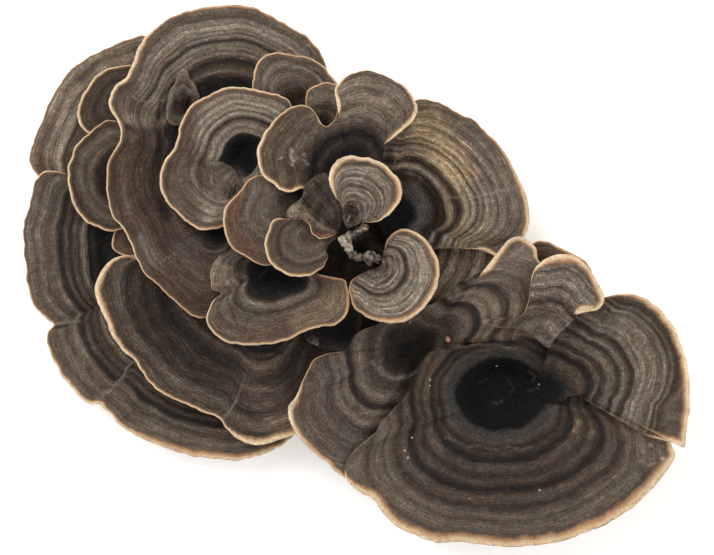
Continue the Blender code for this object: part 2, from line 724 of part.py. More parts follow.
def main():
    clear_scene()
    part = bpy.data.collections.new("turkey_tail_fungus")
    helpers = bpy.data.collections.new("helpers")
    helpers.hide_render = True
    bpy.context.scene.collection.children.link(part)
    bpy.context.scene.collection.children.link(helpers)
    base = base_object(part)
    bpy.context.view_layer.update()
    trees = [tree_of(base)]
    for cap in CAPS:
        if cap.name == "top_centre_cap":
            buds = bud_object(trees[:1], part, helpers)
            bpy.context.view_layer.update()
            trees.append(tree_of(buds))
        made = cap_object(cap, trees, part)
        bpy.context.view_layer.update()
        trees.append(tree_of(made))


main()
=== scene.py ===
"""The looks of the turkey tail rosette: banded velvety tops, cream margins and pored undersides.

Each cap is drawn again on a fine grid from the same rim, hub, profile and heights as its solid, with its
neck sunk into what it grew from. Then it gets its zones, folds, crenulated margin and rounded edge. Pixels
are those of the picture from above.
"""

import math
from dataclasses import dataclass

import bmesh
import bpy
import numpy as np
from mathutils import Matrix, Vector
from mathutils.bvhtree import BVHTree


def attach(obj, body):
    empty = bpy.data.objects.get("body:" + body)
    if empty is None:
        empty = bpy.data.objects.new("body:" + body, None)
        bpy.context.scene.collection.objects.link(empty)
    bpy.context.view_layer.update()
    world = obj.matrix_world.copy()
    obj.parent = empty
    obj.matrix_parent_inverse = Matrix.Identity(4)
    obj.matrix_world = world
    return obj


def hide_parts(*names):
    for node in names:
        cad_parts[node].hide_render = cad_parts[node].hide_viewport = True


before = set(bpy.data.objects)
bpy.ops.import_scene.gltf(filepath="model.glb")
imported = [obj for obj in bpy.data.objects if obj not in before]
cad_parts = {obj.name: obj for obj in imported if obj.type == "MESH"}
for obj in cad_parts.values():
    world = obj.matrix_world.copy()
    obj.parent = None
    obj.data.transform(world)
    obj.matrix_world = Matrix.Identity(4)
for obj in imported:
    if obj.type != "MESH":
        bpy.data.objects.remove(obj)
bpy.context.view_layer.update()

MM = 0.001
DOWN = Vector((0, 0, -1))

# Driving dimensions in metres, the same as the solids'
CLUSTER_LENGTH = 0.160
CAP_THICKNESS = 0.0019
MARGIN_THICKNESS = 0.0009
LEAST_THICKNESS = 0.0007
MARGIN_CURL = 0.0005  # how far a margin turns down
CLEARANCE = 0.0006  # over the pieces under a cap, away from its neck
BASE_EDGE_HEIGHT = 0.0025

# How far a neck goes into what it grew from, in metres, and further where that lies lower than its solid
SINK = 0.0004
DEEP_SINKS = {"far_left_cap": 0.0008, "lower_left_cap": 0.0022, "top_centre_cap": 0.0011}

# The picture from above: the cluster is PICTURE_LENGTH pixels long, and PICTURE_ORIGIN is the row's origin
PICTURE_LENGTH = 668
PICTURE_ORIGIN = (360, 262)
PICTURE_SIZE = (714, 555)
CAMERA_DISTANCE = 2.5  # metres above the height in focus
FOCUS_HEIGHT = 0.020
PIXEL = CLUSTER_LENGTH / PICTURE_LENGTH

# Profiles from the hub to the rim: share of the way out, share of the rise from the hub to the rim
FAN = ((0, 0), (0.22, 0.26), (0.5, 0.66), (0.8, 0.98), (1, 1))
FUNNEL = ((0, 0), (0.16, 0.02), (0.27, 0.62), (0.34, 0.86), (0.6, 0.92), (0.85, 1.08), (1, 1))
HOLLOW = ((0, 0), (0.12, 0.1), (0.3, 0.75), (0.5, 0.95), (0.8, 1.05), (1, 1))
SADDLE = ((0, 0), (0.3, 0.4), (0.6, 0.85), (0.85, 1.1), (1, 1))

# The fine grid. The last rows of a skin have their own distances from the rim, in metres
RIM_SAMPLES = 400  # for measuring how long a rim is
TOP_EDGE_ROWS = (0.0009, 0.00055, 0.0003, 0.00012, 0.0)
UNDER_EDGE_ROWS = (0.0009, 0.0004, 0.00012, 0.0)
UNDER_COARSENESS = 2.6  # how many times further apart the underside's rows are than the top's
DIRECTIONS = 720  # round a centre, for how far the rim is each way
BATCH = 4000  # how many points are measured at a time

# Noises: period in metres, weight, and what is added to the seed. The weights of WARPS are in metres
NOTCHES = ((0.0021, 1.0, 0), (0.0062, 1.3, 1), (0.0011, 0.6, 8))
WARPS = ((0.007, 0.00040, 0), (0.0023, 0.00016, 1))
RINGS = ((0.0023, 1.0, 2), (0.0011, 0.7, 3))
BASE_LUMPS = ((0.0035, 1.0, 5), (0.0016, 0.5, 6))
BUD_LUMPS = ((0.0012, 1.0, 3), (0.0006, 0.8, 4))

# Relief and edges, in metres
EDGE_ROUND = 0.0007
RING_RELIEF = 0.00011
TONE_RELIEF = 0.00017
FOLD_RELIEF = 0.00022
LUMP_RELIEF = 0.00016
CRENULATION = 0.00024
BASE_RELIEF = 0.00035
BUD_RELIEF = 0.00017
LOBE_FADE = 0.0025  # how far a lobe takes to fade in from its open ends
LIP = 0.0004  # from a lobe's edge to the middle of its pale lip
LIP_WIDTH = 0.0003

# Pale bands stand up and dark ones lie low, by how far they are from a middle tone
MIDDLE_TONE = 0.06
TONE_GAIN = 8

# Noise on the tops, in cells per mm: across the growth, both ways, and along it
BAND_CELLS = (0.09, 0.09, 0.82)
LINE_CELLS = (0.24, 0.24, 2.1)
HAIR_CELLS = (0.9, 0.9, 5.5)
FIBRE_CELLS = (4.2, 4.2, 0.55)
SWAY_CELLS = (0.14, 0.14, 0.42)
THIN_CELLS = (0.33, 0.33, 0.6)
FOLD_CELLS = (0.16, 0.16, 0.03)
THIN_TURN = 7.6  # radians of the thin lines' wave in a mm along the growth
SWAY_TURN = 17.0  # radians by which noise shifts that wave

# Noise in cells per metre, the same each way but for the cork of the cut
MOTTLE_CELLS = 1250.0
GRAIN_CELLS = 3700.0
PATCH_CELLS = 330.0
CLOUD_CELLS = 95.0
PORE_CELLS = 2900.0
CORK_CELLS = (420.0, 1900.0, 600.0)

# How deep the bumps are, in metres
TOP_BUMP = 0.00026
PORE_BUMP = 0.00012
BASE_BUMP = 0.00040
CUT_BUMP = 0.00030
BUD_BUMP = 0.00030
GRAIN_BUMP = 0.00010

# Islands in the square of the texture
ISLAND_SIZE = 0.48
ISLAND_MARGIN = 0.01
UNDERSIDE_SHIFT = 0.5

# Tones of the tops, dark to pale, then a red one and a cold one. At the hubs BLACK is both the dark tissue
# and painted shade in the hollows
BLACK = (0.0060, 0.0058, 0.0062)
COAL = (0.0160, 0.0125, 0.0105)
UMBER = (0.0330, 0.0240, 0.0180)
BROWN = (0.0600, 0.0450, 0.0345)
TAUPE = (0.0950, 0.0750, 0.0580)
GREY = (0.1380, 0.1120, 0.0880)
PALE = (0.1900, 0.1570, 0.1250)
ASH = (0.2800, 0.2400, 0.1950)
RUSSET = (0.0900, 0.0540, 0.0370)
SLATE = (0.0450, 0.0405, 0.0365)

# Colours of the margins, the debris, the hairs, the undersides and the cut
CREAM = (0.600, 0.455, 0.295)
ORANGE_TAN = (0.360, 0.205, 0.105)
RUST = (0.120, 0.068, 0.042)
DUST = (0.260, 0.215, 0.170)
PINK = (0.620, 0.270, 0.200)
HAIR = (0.300, 0.255, 0.205)
PORES = (0.700, 0.590, 0.430)
PORE_SHADE = (0.470, 0.360, 0.230)
FLESH = (0.520, 0.400, 0.260)
BARK = (0.110, 0.075, 0.048)
SPECULAR = 0.15  # of every material but the floor's

# Factors that shift the tones here and there on every top
RED_CAST = (1.08, 0.97, 0.91)
GREEN_CAST = (0.97, 1.01, 0.99)

# Factors that shift a patch of one top. The two darkest paint shade
LIFT = (1.50, 1.46, 1.40)
# Painted shade under the rims of the caps above, in crinkles and holes, and in the hollows by the hubs,
# where the tissue is dark too
PAINTED_SHADE = (0.50, 0.48, 0.47)
# Deeper painted shade, in the same kinds of places
PAINTED_DARK_SHADE = (0.20, 0.20, 0.21)
RUDDY = (1.12, 0.86, 0.76)
OLIVINE = (1.18, 1.12, 0.84)
ASHEN = (1.22, 1.28, 1.34)


@dataclass
class Cap:
    """A cap: its rim and hub are pixels across and down the picture, and the height of the top in mm."""

    name: str
    rim: tuple
    hub: tuple
    neck: tuple  # centre in pixels, radius in mm
    profile: tuple = FAN
    span: float = 0.0  # pixels that the profile covers, or 0 for the whole way to the rim
    flare: float = 1.7  # how many neck radii the neck spreads to
    crown: float = 0.0  # mm added half way out
    segments: int = 20
    rings: int = 3
    wave: float = 0.3  # mm


def level(height, *points):
    """Points of the picture that all have one height in mm."""
    return tuple((x, y, height) for x, y in points)


BASE = Cap(
    "base",
    level(
        0, (158, 192), (178, 155), (212, 128), (250, 124), (300, 138), (340, 130), (392, 146), (436, 180),
        (446, 222), (438, 258), (452, 286), (492, 302), (532, 314), (562, 345), (562, 398), (538, 440),
        (492, 448), (450, 426), (414, 392), (378, 368), (336, 342), (296, 316), (252, 300), (212, 268),
        (176, 234),
    ),
    (352, 250, 6.5),
    (352, 250, 0.0),
    segments=36,
    rings=4,
)
# Bosses on the base: centre in pixels, radius in pixels, height in mm
BASE_BOSSES = (
    (324, 212, 36, 16.0),
    (250, 166, 30, 6.0),
    (373, 254, 13, 8.0),
)
BASE_ROWS = 60
BASE_FINENESS = 8  # fine sectors for each of the solid's
CUT_ROWS = 13
CUT_SHARE = 0.985  # how far out the flat cut goes before the edge rounds up

CAPS = (
    Cap(
        "far_left_cap",
        (
            (146, 36, 15), (122, 40, 14.5), (100, 50, 14), (80, 62, 13.5), (62, 80, 13), (50, 100, 12.5),
            (41, 120, 12), (33, 138, 11.5), (29, 155, 11), (31, 168, 10.5), (38, 178, 10), (60, 198, 9.5),
            (95, 215, 9), (135, 228, 8.5), (175, 232, 8.5), (200, 216, 9), (201, 185, 10), (195, 150, 11.5),
            (186, 110, 13), (178, 65, 14.5), (163, 43, 15),
        ),
        (186, 190, 10),
        (188, 190, 5.0),
        flare=2.3,
        segments=30,
        rings=4,
    ),
    Cap(
        "lower_left_cap",
        (
            (68, 174, 14), (55, 171, 14.5), (43, 171.5, 14.5), (34, 181, 14.5), (29, 197, 14.5),
            (27, 210, 14.5), (22, 226, 14.5), (23, 245, 14), (25, 265, 13.5), (27, 285, 13),
            (33, 304, 12.5), (45, 319, 12), (52, 325, 11), (47, 332, 11.5), (46, 344, 11.5),
            (53, 361, 11.5), (65, 381, 11.5), (79, 398, 11), (89, 405.5, 11), (98, 405, 10.5),
            (106, 410, 11), (121, 427.5, 11), (142, 440, 10.5), (170, 451.5, 10.5), (200, 458.5, 10),
            (235, 461.5, 10), (263, 454.5, 9.5), (284, 444, 9.5), (307, 415, 9.5), (312, 370, 9.5),
            (312, 320, 9.5), (306, 275, 10), (286, 238, 10.5), (252, 218, 11), (205, 205, 11),
            (150, 198, 12.5), (105, 185, 13.5),
        ),
        (246, 250, 10.5),
        (246, 252, 7.0),
        flare=2.3,
        segments=37,
        rings=5,
    ),
    Cap(
        "small_left_cap",
        (
            (131, 66.5, 18), (120, 67, 18), (108, 69.5, 17.5), (97, 75, 17.5), (88, 86, 17), (81, 99, 16.5),
            (78, 114, 16), (80, 126, 16), (88, 133, 16), (100, 134, 16.5), (115, 128, 17), (130, 118, 18),
            (138, 102, 18.5), (138, 82, 18.5),
        ),
        (126, 98, 17.5),
        (124, 98, 2.0),
        segments=18,
    ),
    Cap(
        "tiny_left_cap",
        (
            (116, 229, 17), (112, 237, 16.5), (111, 246, 16.5), (116, 253, 16.5), (124, 256, 17),
            (135, 256, 17.5), (145, 250, 17.5), (148, 238, 17.5), (140, 228, 17.5), (127, 224, 17.5),
        ),
        (132, 242, 17),
        (134, 242, 1.4),
        segments=12,
        wave=0.1,
    ),
    Cap(
        "left_ear_cap",
        (
            (118, 121, 19.5), (109, 119.5, 19.5), (98, 124, 19.5), (87, 133, 19.5), (76, 145, 19.5),
            (69, 160, 19.5), (67, 177, 19.5), (71, 195, 19.5), (79, 212, 19.5), (90, 224, 19.5),
            (102, 230, 19.5), (114, 232, 19.5), (128, 226, 19.5), (140, 210, 19.5), (144, 185, 19.5),
            (142, 155, 20), (133, 132, 20),
        ),
        (126, 178, 18.5),
        (126, 178, 2.6),
        segments=20,
    ),
    Cap(
        "wide_lower_cap",
        (
            (138, 257, 20), (127, 255, 20), (114, 258, 19.5), (104, 265, 19.5), (98, 276, 19),
            (96, 290, 18.5), (99, 307, 18.5), (106, 323, 18), (112, 337, 17.5), (122, 350, 17),
            (136, 363, 17), (147, 379, 16.5), (160, 392, 16.5), (180, 403, 16), (202, 413, 16),
            (221, 420, 15.5), (226, 429, 15.5), (240, 440, 15.5), (260, 445, 15), (280, 440, 15),
            (296, 434, 15), (316, 412, 15), (330, 372, 15), (342, 345, 15), (332, 302, 15.5),
            (308, 264, 16.5), (290, 246, 17.5), (264, 236, 18.5), (235, 237, 19), (200, 243, 20),
            (168, 250, 20),
        ),
        (262, 278, 15.5),
        (264, 280, 6.0),
        flare=2.3,
        segments=32,
        rings=4,
        crown=-0.6,
    ),
    Cap(
        "dark_tucked_cap",
        level(
            18, (334, 352), (318, 348), (308, 342), (302, 330), (305, 314), (322, 300), (346, 298),
            (358, 308), (361, 328), (354, 344), (344, 352),
        ),
        (340, 325, 17.5),
        (342, 322, 2.0),
        segments=14,
        wave=0.1,
    ),
    Cap(
        "under_right_cap",
        (
            (505, 240, 13), (508, 255, 13), (505, 270, 13), (498, 285, 13), (480, 295, 12.5),
            (455, 300, 12), (425, 300, 11), (408, 288, 10), (400, 272, 9), (398, 250, 9), (404, 226, 9),
            (422, 214, 9), (460, 215, 11), (490, 225, 12.5),
        ),
        (426, 250, 9),
        (424, 248, 4.0),
        segments=20,
    ),
    Cap(
        "tan_right_cap",
        (
            (412, 101, 19.5), (420, 98.5, 19.5), (433, 100.5, 19), (447, 106, 19), (458, 114, 18.5),
            (472, 119, 18.5), (484, 128, 18.5), (494, 138, 18.5), (504, 150.5, 18), (513, 164.5, 18),
            (519, 181.5, 18), (526, 197, 18), (529.5, 213, 18), (527.5, 229, 18), (521, 241, 18),
            (510, 251, 17.5), (498, 256.5, 17.5), (487, 250.5, 17.5), (470, 249, 17), (452, 248, 16),
            (436, 248.5, 14.5), (420, 252, 13), (402, 252, 12.5), (386, 240, 12.5), (374, 218, 13),
            (370, 190, 14), (372, 160, 16), (384, 132, 18.5),
        ),
        (402, 221, 11),
        (402, 222, 5.0),
        profile=SADDLE,
        span=122,
        flare=2.3,
        segments=30,
        rings=5,
    ),
    Cap(
        "back_right_cap",
        (
            (533, 243, 18.5), (545, 241, 18.5), (557, 246, 19), (570, 252.5, 19.5), (582, 258.5, 19.5),
            (587, 263, 19.5), (592, 275, 19.5), (590, 290, 19.5), (582, 303, 18.5), (570, 313, 17.5),
            (555, 327, 15), (540, 342, 12.5), (526, 336, 12), (520, 318, 13), (523, 295, 15),
            (528, 265, 17),
        ),
        (541, 320, 12),
        (538, 326, 2.6),
        segments=18,
    ),
    Cap(
        "fan_lobed_cap",
        (
            (374, 325, 20), (361, 330.5, 20), (351.5, 340, 20), (345, 350, 20), (330, 353, 20),
            (316, 358.5, 19.5), (309, 368, 19.5), (302, 385, 19), (295, 398, 19), (288.5, 407, 18.5),
            (290, 420, 18.5), (296, 434, 18), (309, 449, 17.3), (325, 462, 16.6), (338, 473, 16.3),
            (353, 480, 14.8), (372, 464, 14), (388, 446, 13.5), (408, 430, 13.5), (428, 415, 13.5),
            (440, 402, 13.5), (446, 384, 13.5), (450, 366, 13.5), (464, 350, 14.5), (482, 343.5, 15.5),
            (502, 342, 15.5), (522, 342.5, 16.5), (541, 338, 17.5), (553, 322, 19), (555, 300, 20.5),
            (549, 281, 21), (541, 266, 21.5), (537, 258, 22), (536, 249, 22.5), (528, 240, 22.5),
            (518, 236, 22.5), (508, 240, 22.5), (500, 250, 22.5), (489, 266, 22), (473, 275.5, 21.5),
            (457, 284, 21), (441, 300, 20.5), (425, 307, 20), (400, 312, 20), (386, 318, 20),
        ),
        (425, 345, 10.5),
        (425, 345, 5.0),
        profile=HOLLOW,
        span=140,
        flare=2.3,
        segments=44,
        rings=5,
    ),
    Cap(
        "funnel_cap",
        (
            (449, 351, 17), (438, 350, 17), (429, 353, 17), (421, 362, 17), (415, 375, 17), (411, 388, 17),
            (405, 398, 17.5), (396, 406, 17.5), (389, 415, 17.5), (381, 422, 18), (377, 430, 18),
            (368, 439, 18), (357, 448, 18), (348, 459, 17.3), (345, 473, 17), (351, 485, 17),
            (362, 493, 17), (375, 502, 17), (383, 514, 17), (395, 525.5, 17), (411, 534.5, 16.5),
            (431, 541, 16.5), (455, 542.5, 16), (480, 544.5, 16), (505, 547, 16), (530, 546, 16),
            (555, 542.5, 16), (582, 534.5, 16), (606, 524.5, 16.5), (626, 513, 16.5), (643, 497, 17),
            (660, 481.5, 17), (669, 469, 17), (675, 456, 17), (673, 446, 17), (660, 430, 16),
            (640, 414, 15), (618, 401, 14.5), (598, 388, 14), (581, 377, 13.5), (567, 363, 14),
            (555, 346, 16), (530, 338, 18.5), (505, 341.5, 18.5), (480, 343.5, 18.5), (462, 347, 18),
        ),
        (502, 395, 7.5),
        (502, 395, 6.0),
        profile=FUNNEL,
        span=152,
        flare=2.3,
        segments=46,
        rings=5,
    ),
    Cap(
        "far_right_cap",
        (
            (604, 297, 21), (615, 294.5, 21), (632, 294, 21), (648, 300, 21), (662, 311, 21),
            (672, 324, 21), (680, 343, 21), (686.5, 366, 21), (690.5, 388, 21), (689, 412, 21),
            (686.5, 430, 21), (684, 448, 20.5), (677, 444, 20), (664, 440.5, 20), (648, 436, 20),
            (632, 428, 19.5), (616, 418, 19.5), (602, 409, 19), (588, 400, 18.5), (572, 395, 17.5),
            (561, 402, 16.5), (549, 402, 15.5), (540, 391, 15.5), (540, 374, 17), (547, 357, 19.5),
            (552, 336, 20), (560, 322, 20), (572, 308, 20.5), (590, 300, 21),
        ),
        (557, 383, 15.5),
        (558, 383, 2.2),
        profile=SADDLE,
        span=136,
        segments=30,
        rings=5,
    ),
    Cap(
        "tongue_cap",
        (
            (484, 322, 22.5), (502, 317.5, 22.5), (520, 316.5, 23), (527, 303, 24), (530, 288, 24),
            (532, 274, 24.5), (539, 262, 25), (551, 255.5, 25), (564, 254, 25), (577, 258.5, 25),
            (587, 267, 25), (596, 279, 25), (603, 291, 25), (604, 302, 25), (598, 309.5, 24.5),
            (582, 310.5, 24), (574, 319, 24), (566, 329, 23.5), (555, 339, 23), (549, 349, 22.5),
            (540, 343, 22.5), (528, 333, 22.5), (512, 328.5, 22.5), (496, 327, 22.5),
        ),
        (540, 321, 23),
        (542, 320, 2.6),
        segments=24,
        rings=4,
    ),
    Cap(
        "big_upper_cap",
        (
            (335, 84, 21.5), (328, 70, 21.5), (320, 50, 21), (306, 37, 21), (288, 25, 21), (268, 14, 21),
            (249, 7, 20.5), (228, 5.5, 20.5), (206, 7, 20.5), (188, 11, 20.5), (172, 17, 21), (155, 30, 21),
            (143, 41, 21), (136, 55, 21), (130, 71, 21), (122, 80, 21), (113, 87, 21), (109, 102, 21),
            (112, 113, 21.5), (118, 121, 22), (121, 134, 22.5), (118, 146, 22.5), (110, 157, 22.5),
            (106, 176, 22.5), (107, 197, 22.5), (113, 217, 22.5), (125, 229, 22.5), (131, 244, 23),
            (136, 258, 23.5), (143, 272, 24), (160, 286, 24), (180, 306, 24), (194, 317, 24),
            (207, 318, 24), (222, 305, 24), (232, 280, 24), (240, 252, 24), (256, 222, 23.5),
            (272, 194, 23), (284, 168, 22.5), (305, 148, 22.5), (335, 140, 22.5), (348, 122, 22),
            (346, 100, 21.5),
        ),
        (235, 165, 18.5),
        (235, 165, 6.0),
        profile=SADDLE,
        span=150,
        flare=2.3,
        segments=44,
        rings=5,
    ),
    Cap(
        "upper_back_cap",
        (
            (253, 92, 24.5), (252.5, 80, 24.5), (254, 70, 24.5), (259, 61, 24.5), (268, 54, 24.5),
            (280, 51, 24.5), (292, 54.5, 24.5), (305, 57.5, 24.5), (317, 62.5, 24.5), (327, 72, 24.5),
            (335, 83, 25), (342, 98, 25), (336, 118, 25), (318, 128, 25), (295, 130, 25), (272, 122, 25),
            (258, 108, 25),
        ),
        (298, 106, 24),
        (298, 108, 2.6),
        segments=20,
    ),
    Cap(
        "upper_middle_cap",
        (
            (292, 107, 27.5), (289, 101.5, 27.5), (279, 96.5, 27.5), (264, 92, 27.5), (248, 88.5, 27),
            (232, 86.5, 26.5), (219, 89.5, 26.5), (206, 97, 26.5), (194, 104, 26.5), (186, 113, 26.5),
            (180, 124, 26.5), (177, 138, 26.5), (174, 149, 26.5), (166, 160, 26.5), (161, 174, 26.5),
            (161, 188, 26.5), (166, 200, 26.5), (178, 214, 26.5), (190, 224, 27), (203, 230, 27.5),
            (214, 229, 27.5), (224, 226, 27.5), (242, 218, 27.5), (260, 205, 27.5), (272, 188, 27.5),
            (278, 168, 27.5), (288, 150, 27.5), (300, 132, 27.5), (300, 118, 27.5),
        ),
        (248, 158, 22.5),
        (248, 160, 4.0),
        profile=HOLLOW,
        segments=30,
        rings=4,
    ),
    Cap(
        "tucked_cap",
        (
            (306, 108, 27), (306, 100, 27), (308, 92, 27), (316, 86, 27), (326, 83, 27), (335, 83.5, 27),
            (345, 90, 27), (350, 105, 27.5), (345, 122, 27.5), (330, 131, 27.5), (314, 128, 27.5),
            (307, 118, 27.5),
        ),
        (330, 112, 26.5),
        (330, 112, 1.8),
        segments=14,
        wave=0.1,
    ),
    Cap(
        "knobbly_lower_cap",
        (
            (232, 250, 27.5), (222, 254, 27.5), (214, 264, 27.5), (210.5, 278, 27.5), (213, 289, 27.5),
            (221, 293, 26.5), (213, 301, 27), (208, 312, 27), (206, 321, 27), (213, 333, 26.5),
            (226, 341, 26.5), (243, 345, 26.5), (262, 345, 26.5), (282, 341, 26), (300, 335, 26),
            (318, 328, 26), (335, 323.5, 26), (345, 317, 26.5), (350, 304, 26.5), (349.5, 290, 26.5),
            (345, 280.5, 26.5), (332, 277, 26.5), (318, 273, 26.5), (304, 261, 26.5), (292, 246, 26.5),
            (270, 238, 27), (250, 242, 27.5),
        ),
        (276, 266, 22.5),
        (274, 266, 4.0),
        profile=HOLLOW,
        segments=28,
        rings=4,
    ),
    Cap(
        "red_brown_cap",
        level(
            30, (264, 176), (256, 176), (249, 180), (242, 190), (232, 199), (224.5, 207.5), (223, 219),
            (226, 234), (232, 247), (243, 255), (255, 261), (269, 265), (284, 256), (294, 240), (303, 222),
            (312, 204), (308, 188), (295, 181), (278, 178),
        ),
        (292, 208, 30),
        (296, 206, 3.0),
        segments=20,
    ),
    Cap(
        "round_middle_cap",
        level(
            33, (274, 221), (268, 229), (264.5, 241), (265, 253), (271, 264), (281, 272), (292, 276.5),
            (304, 277), (316, 273), (325, 265), (328.5, 257), (327, 250), (331, 243), (339, 236),
            (338, 228), (322, 224), (306, 222), (290, 219.5),
        ),
        (316, 241, 32.5),
        (325, 238, 2.2),
        segments=20,
    ),
    Cap(
        "twin_lobed_cap",
        (
            (383, 158, 32.5), (385, 147, 32.5), (394, 138, 32.5), (403, 130.5, 32.5), (412, 122, 32.5),
            (417, 110, 32.5), (415, 101, 32.5), (408, 92, 32.5), (398, 83, 32.5), (384, 76.5, 32.5),
            (366, 71.5, 32.5), (352, 75, 32.5), (341.5, 80.5, 32.5), (335.5, 88, 32.5), (335, 95, 32.5),
            (338, 103, 32.5), (338, 113, 32), (334, 121.5, 32), (326, 127, 32), (320.5, 123.5, 32),
            (317, 116, 32), (311, 109.5, 32), (301, 106.5, 32), (289, 108.5, 32), (280, 115, 32),
            (270, 128, 32), (262, 140, 32), (257, 150, 32), (258, 162, 32.5), (262, 175, 32.5),
            (271, 183, 33), (281, 190, 33), (290, 193, 33), (298, 190, 33), (312, 192, 33), (330, 196, 33),
            (348, 198, 33), (366, 190, 33), (378, 175, 33),
        ),
        (350, 171, 30.5),
        (350, 172, 4.0),
        segments=38,
        rings=4,
    ),
    Cap(
        "kidney_cap",
        level(
            29, (383, 253), (387, 240), (395, 232), (406, 228.5), (418, 232.5), (428, 242), (435.5, 254),
            (438.5, 268), (437.5, 284), (431, 299), (420, 310.5), (406, 320), (393, 323), (379, 320.5),
            (365, 315), (354, 306), (350.5, 294), (351, 282), (360, 274.5), (370, 270), (378, 266.5),
        ),
        (387, 266, 28.5),
        (386, 266, 2.6),
        crown=0.8,
        segments=22,
    ),
    Cap(
        "knobbly_centre_cap",
        (
            (303, 196.5, 35.3), (293, 205, 35.5), (287.5, 212, 35.5), (290, 218.5, 35.5),
            (302, 220.5, 35.5), (309.5, 226, 35.5), (312, 234, 35), (320, 239.5, 35), (329, 237.5, 35),
            (337, 233, 35.5), (343, 222, 35.5), (344, 206, 35.5), (341, 190, 36), (334, 178, 36),
            (323, 175, 36), (312, 180, 35.9), (305, 188, 35.6),
        ),
        (322, 210, 35.5),
        (332, 210, 1.6),
        crown=0.6,
        segments=18,
    ),
    Cap(
        "top_centre_cap",
        level(
            37.5, (329, 178), (331.5, 169), (338, 162), (349, 157.5), (362, 157.5), (375, 161), (388, 170),
            (396, 179), (400.5, 190), (399, 203), (392, 213), (382, 220), (372, 223), (362, 222),
            (356, 225), (349, 229), (344, 222), (342.5, 214), (340, 205), (334, 197), (330, 188),
        ),
        (360, 200, 36.5),
        (358, 214, 1.8),
        crown=0.6,
        segments=20,
    ),
)


@dataclass
class Look:
    """What a cap's top shows. Points, widths and radii are pixels, and heights mm."""

    zones: tuple  # share of the growth from the hub to the rim, tone
    margin: tuple  # x, y on the rim, width, warmth from 0 cream to 1 orange
    centre: tuple = ()  # where the zones start, if it isn't the hub
    whole: float = 0.0  # the least reach that growth is measured by
    contrast: float = 1.0
    gain: float = 1.0  # a factor on the tones
    streaks: float = 1.0  # how much the fibres along the growth show
    step: float = 0.48  # mm between the fine grid's rows
    plain: tuple = BROWN  # the tone where the zones fade
    calms: tuple = ()  # line, radius, how far the zones fade there
    # A ridge with a paleness under 0 is a groove or crease, darkened with painted shade
    ridges: tuple = ()  # line, half width, height, paleness
    knobs: tuple = ()  # x, y, radius, height, paleness of the edge
    pit: tuple = ()  # centre, half width and half height of the hollow, and the growth at its edge
    # A lobe also gets a line of painted shade just outside its edge
    lobes: tuple = ()  # open edge, growth inside it, height, pixels of the rise, paleness of the edge
    tints: tuple = ()  # line, radius, factor, strength


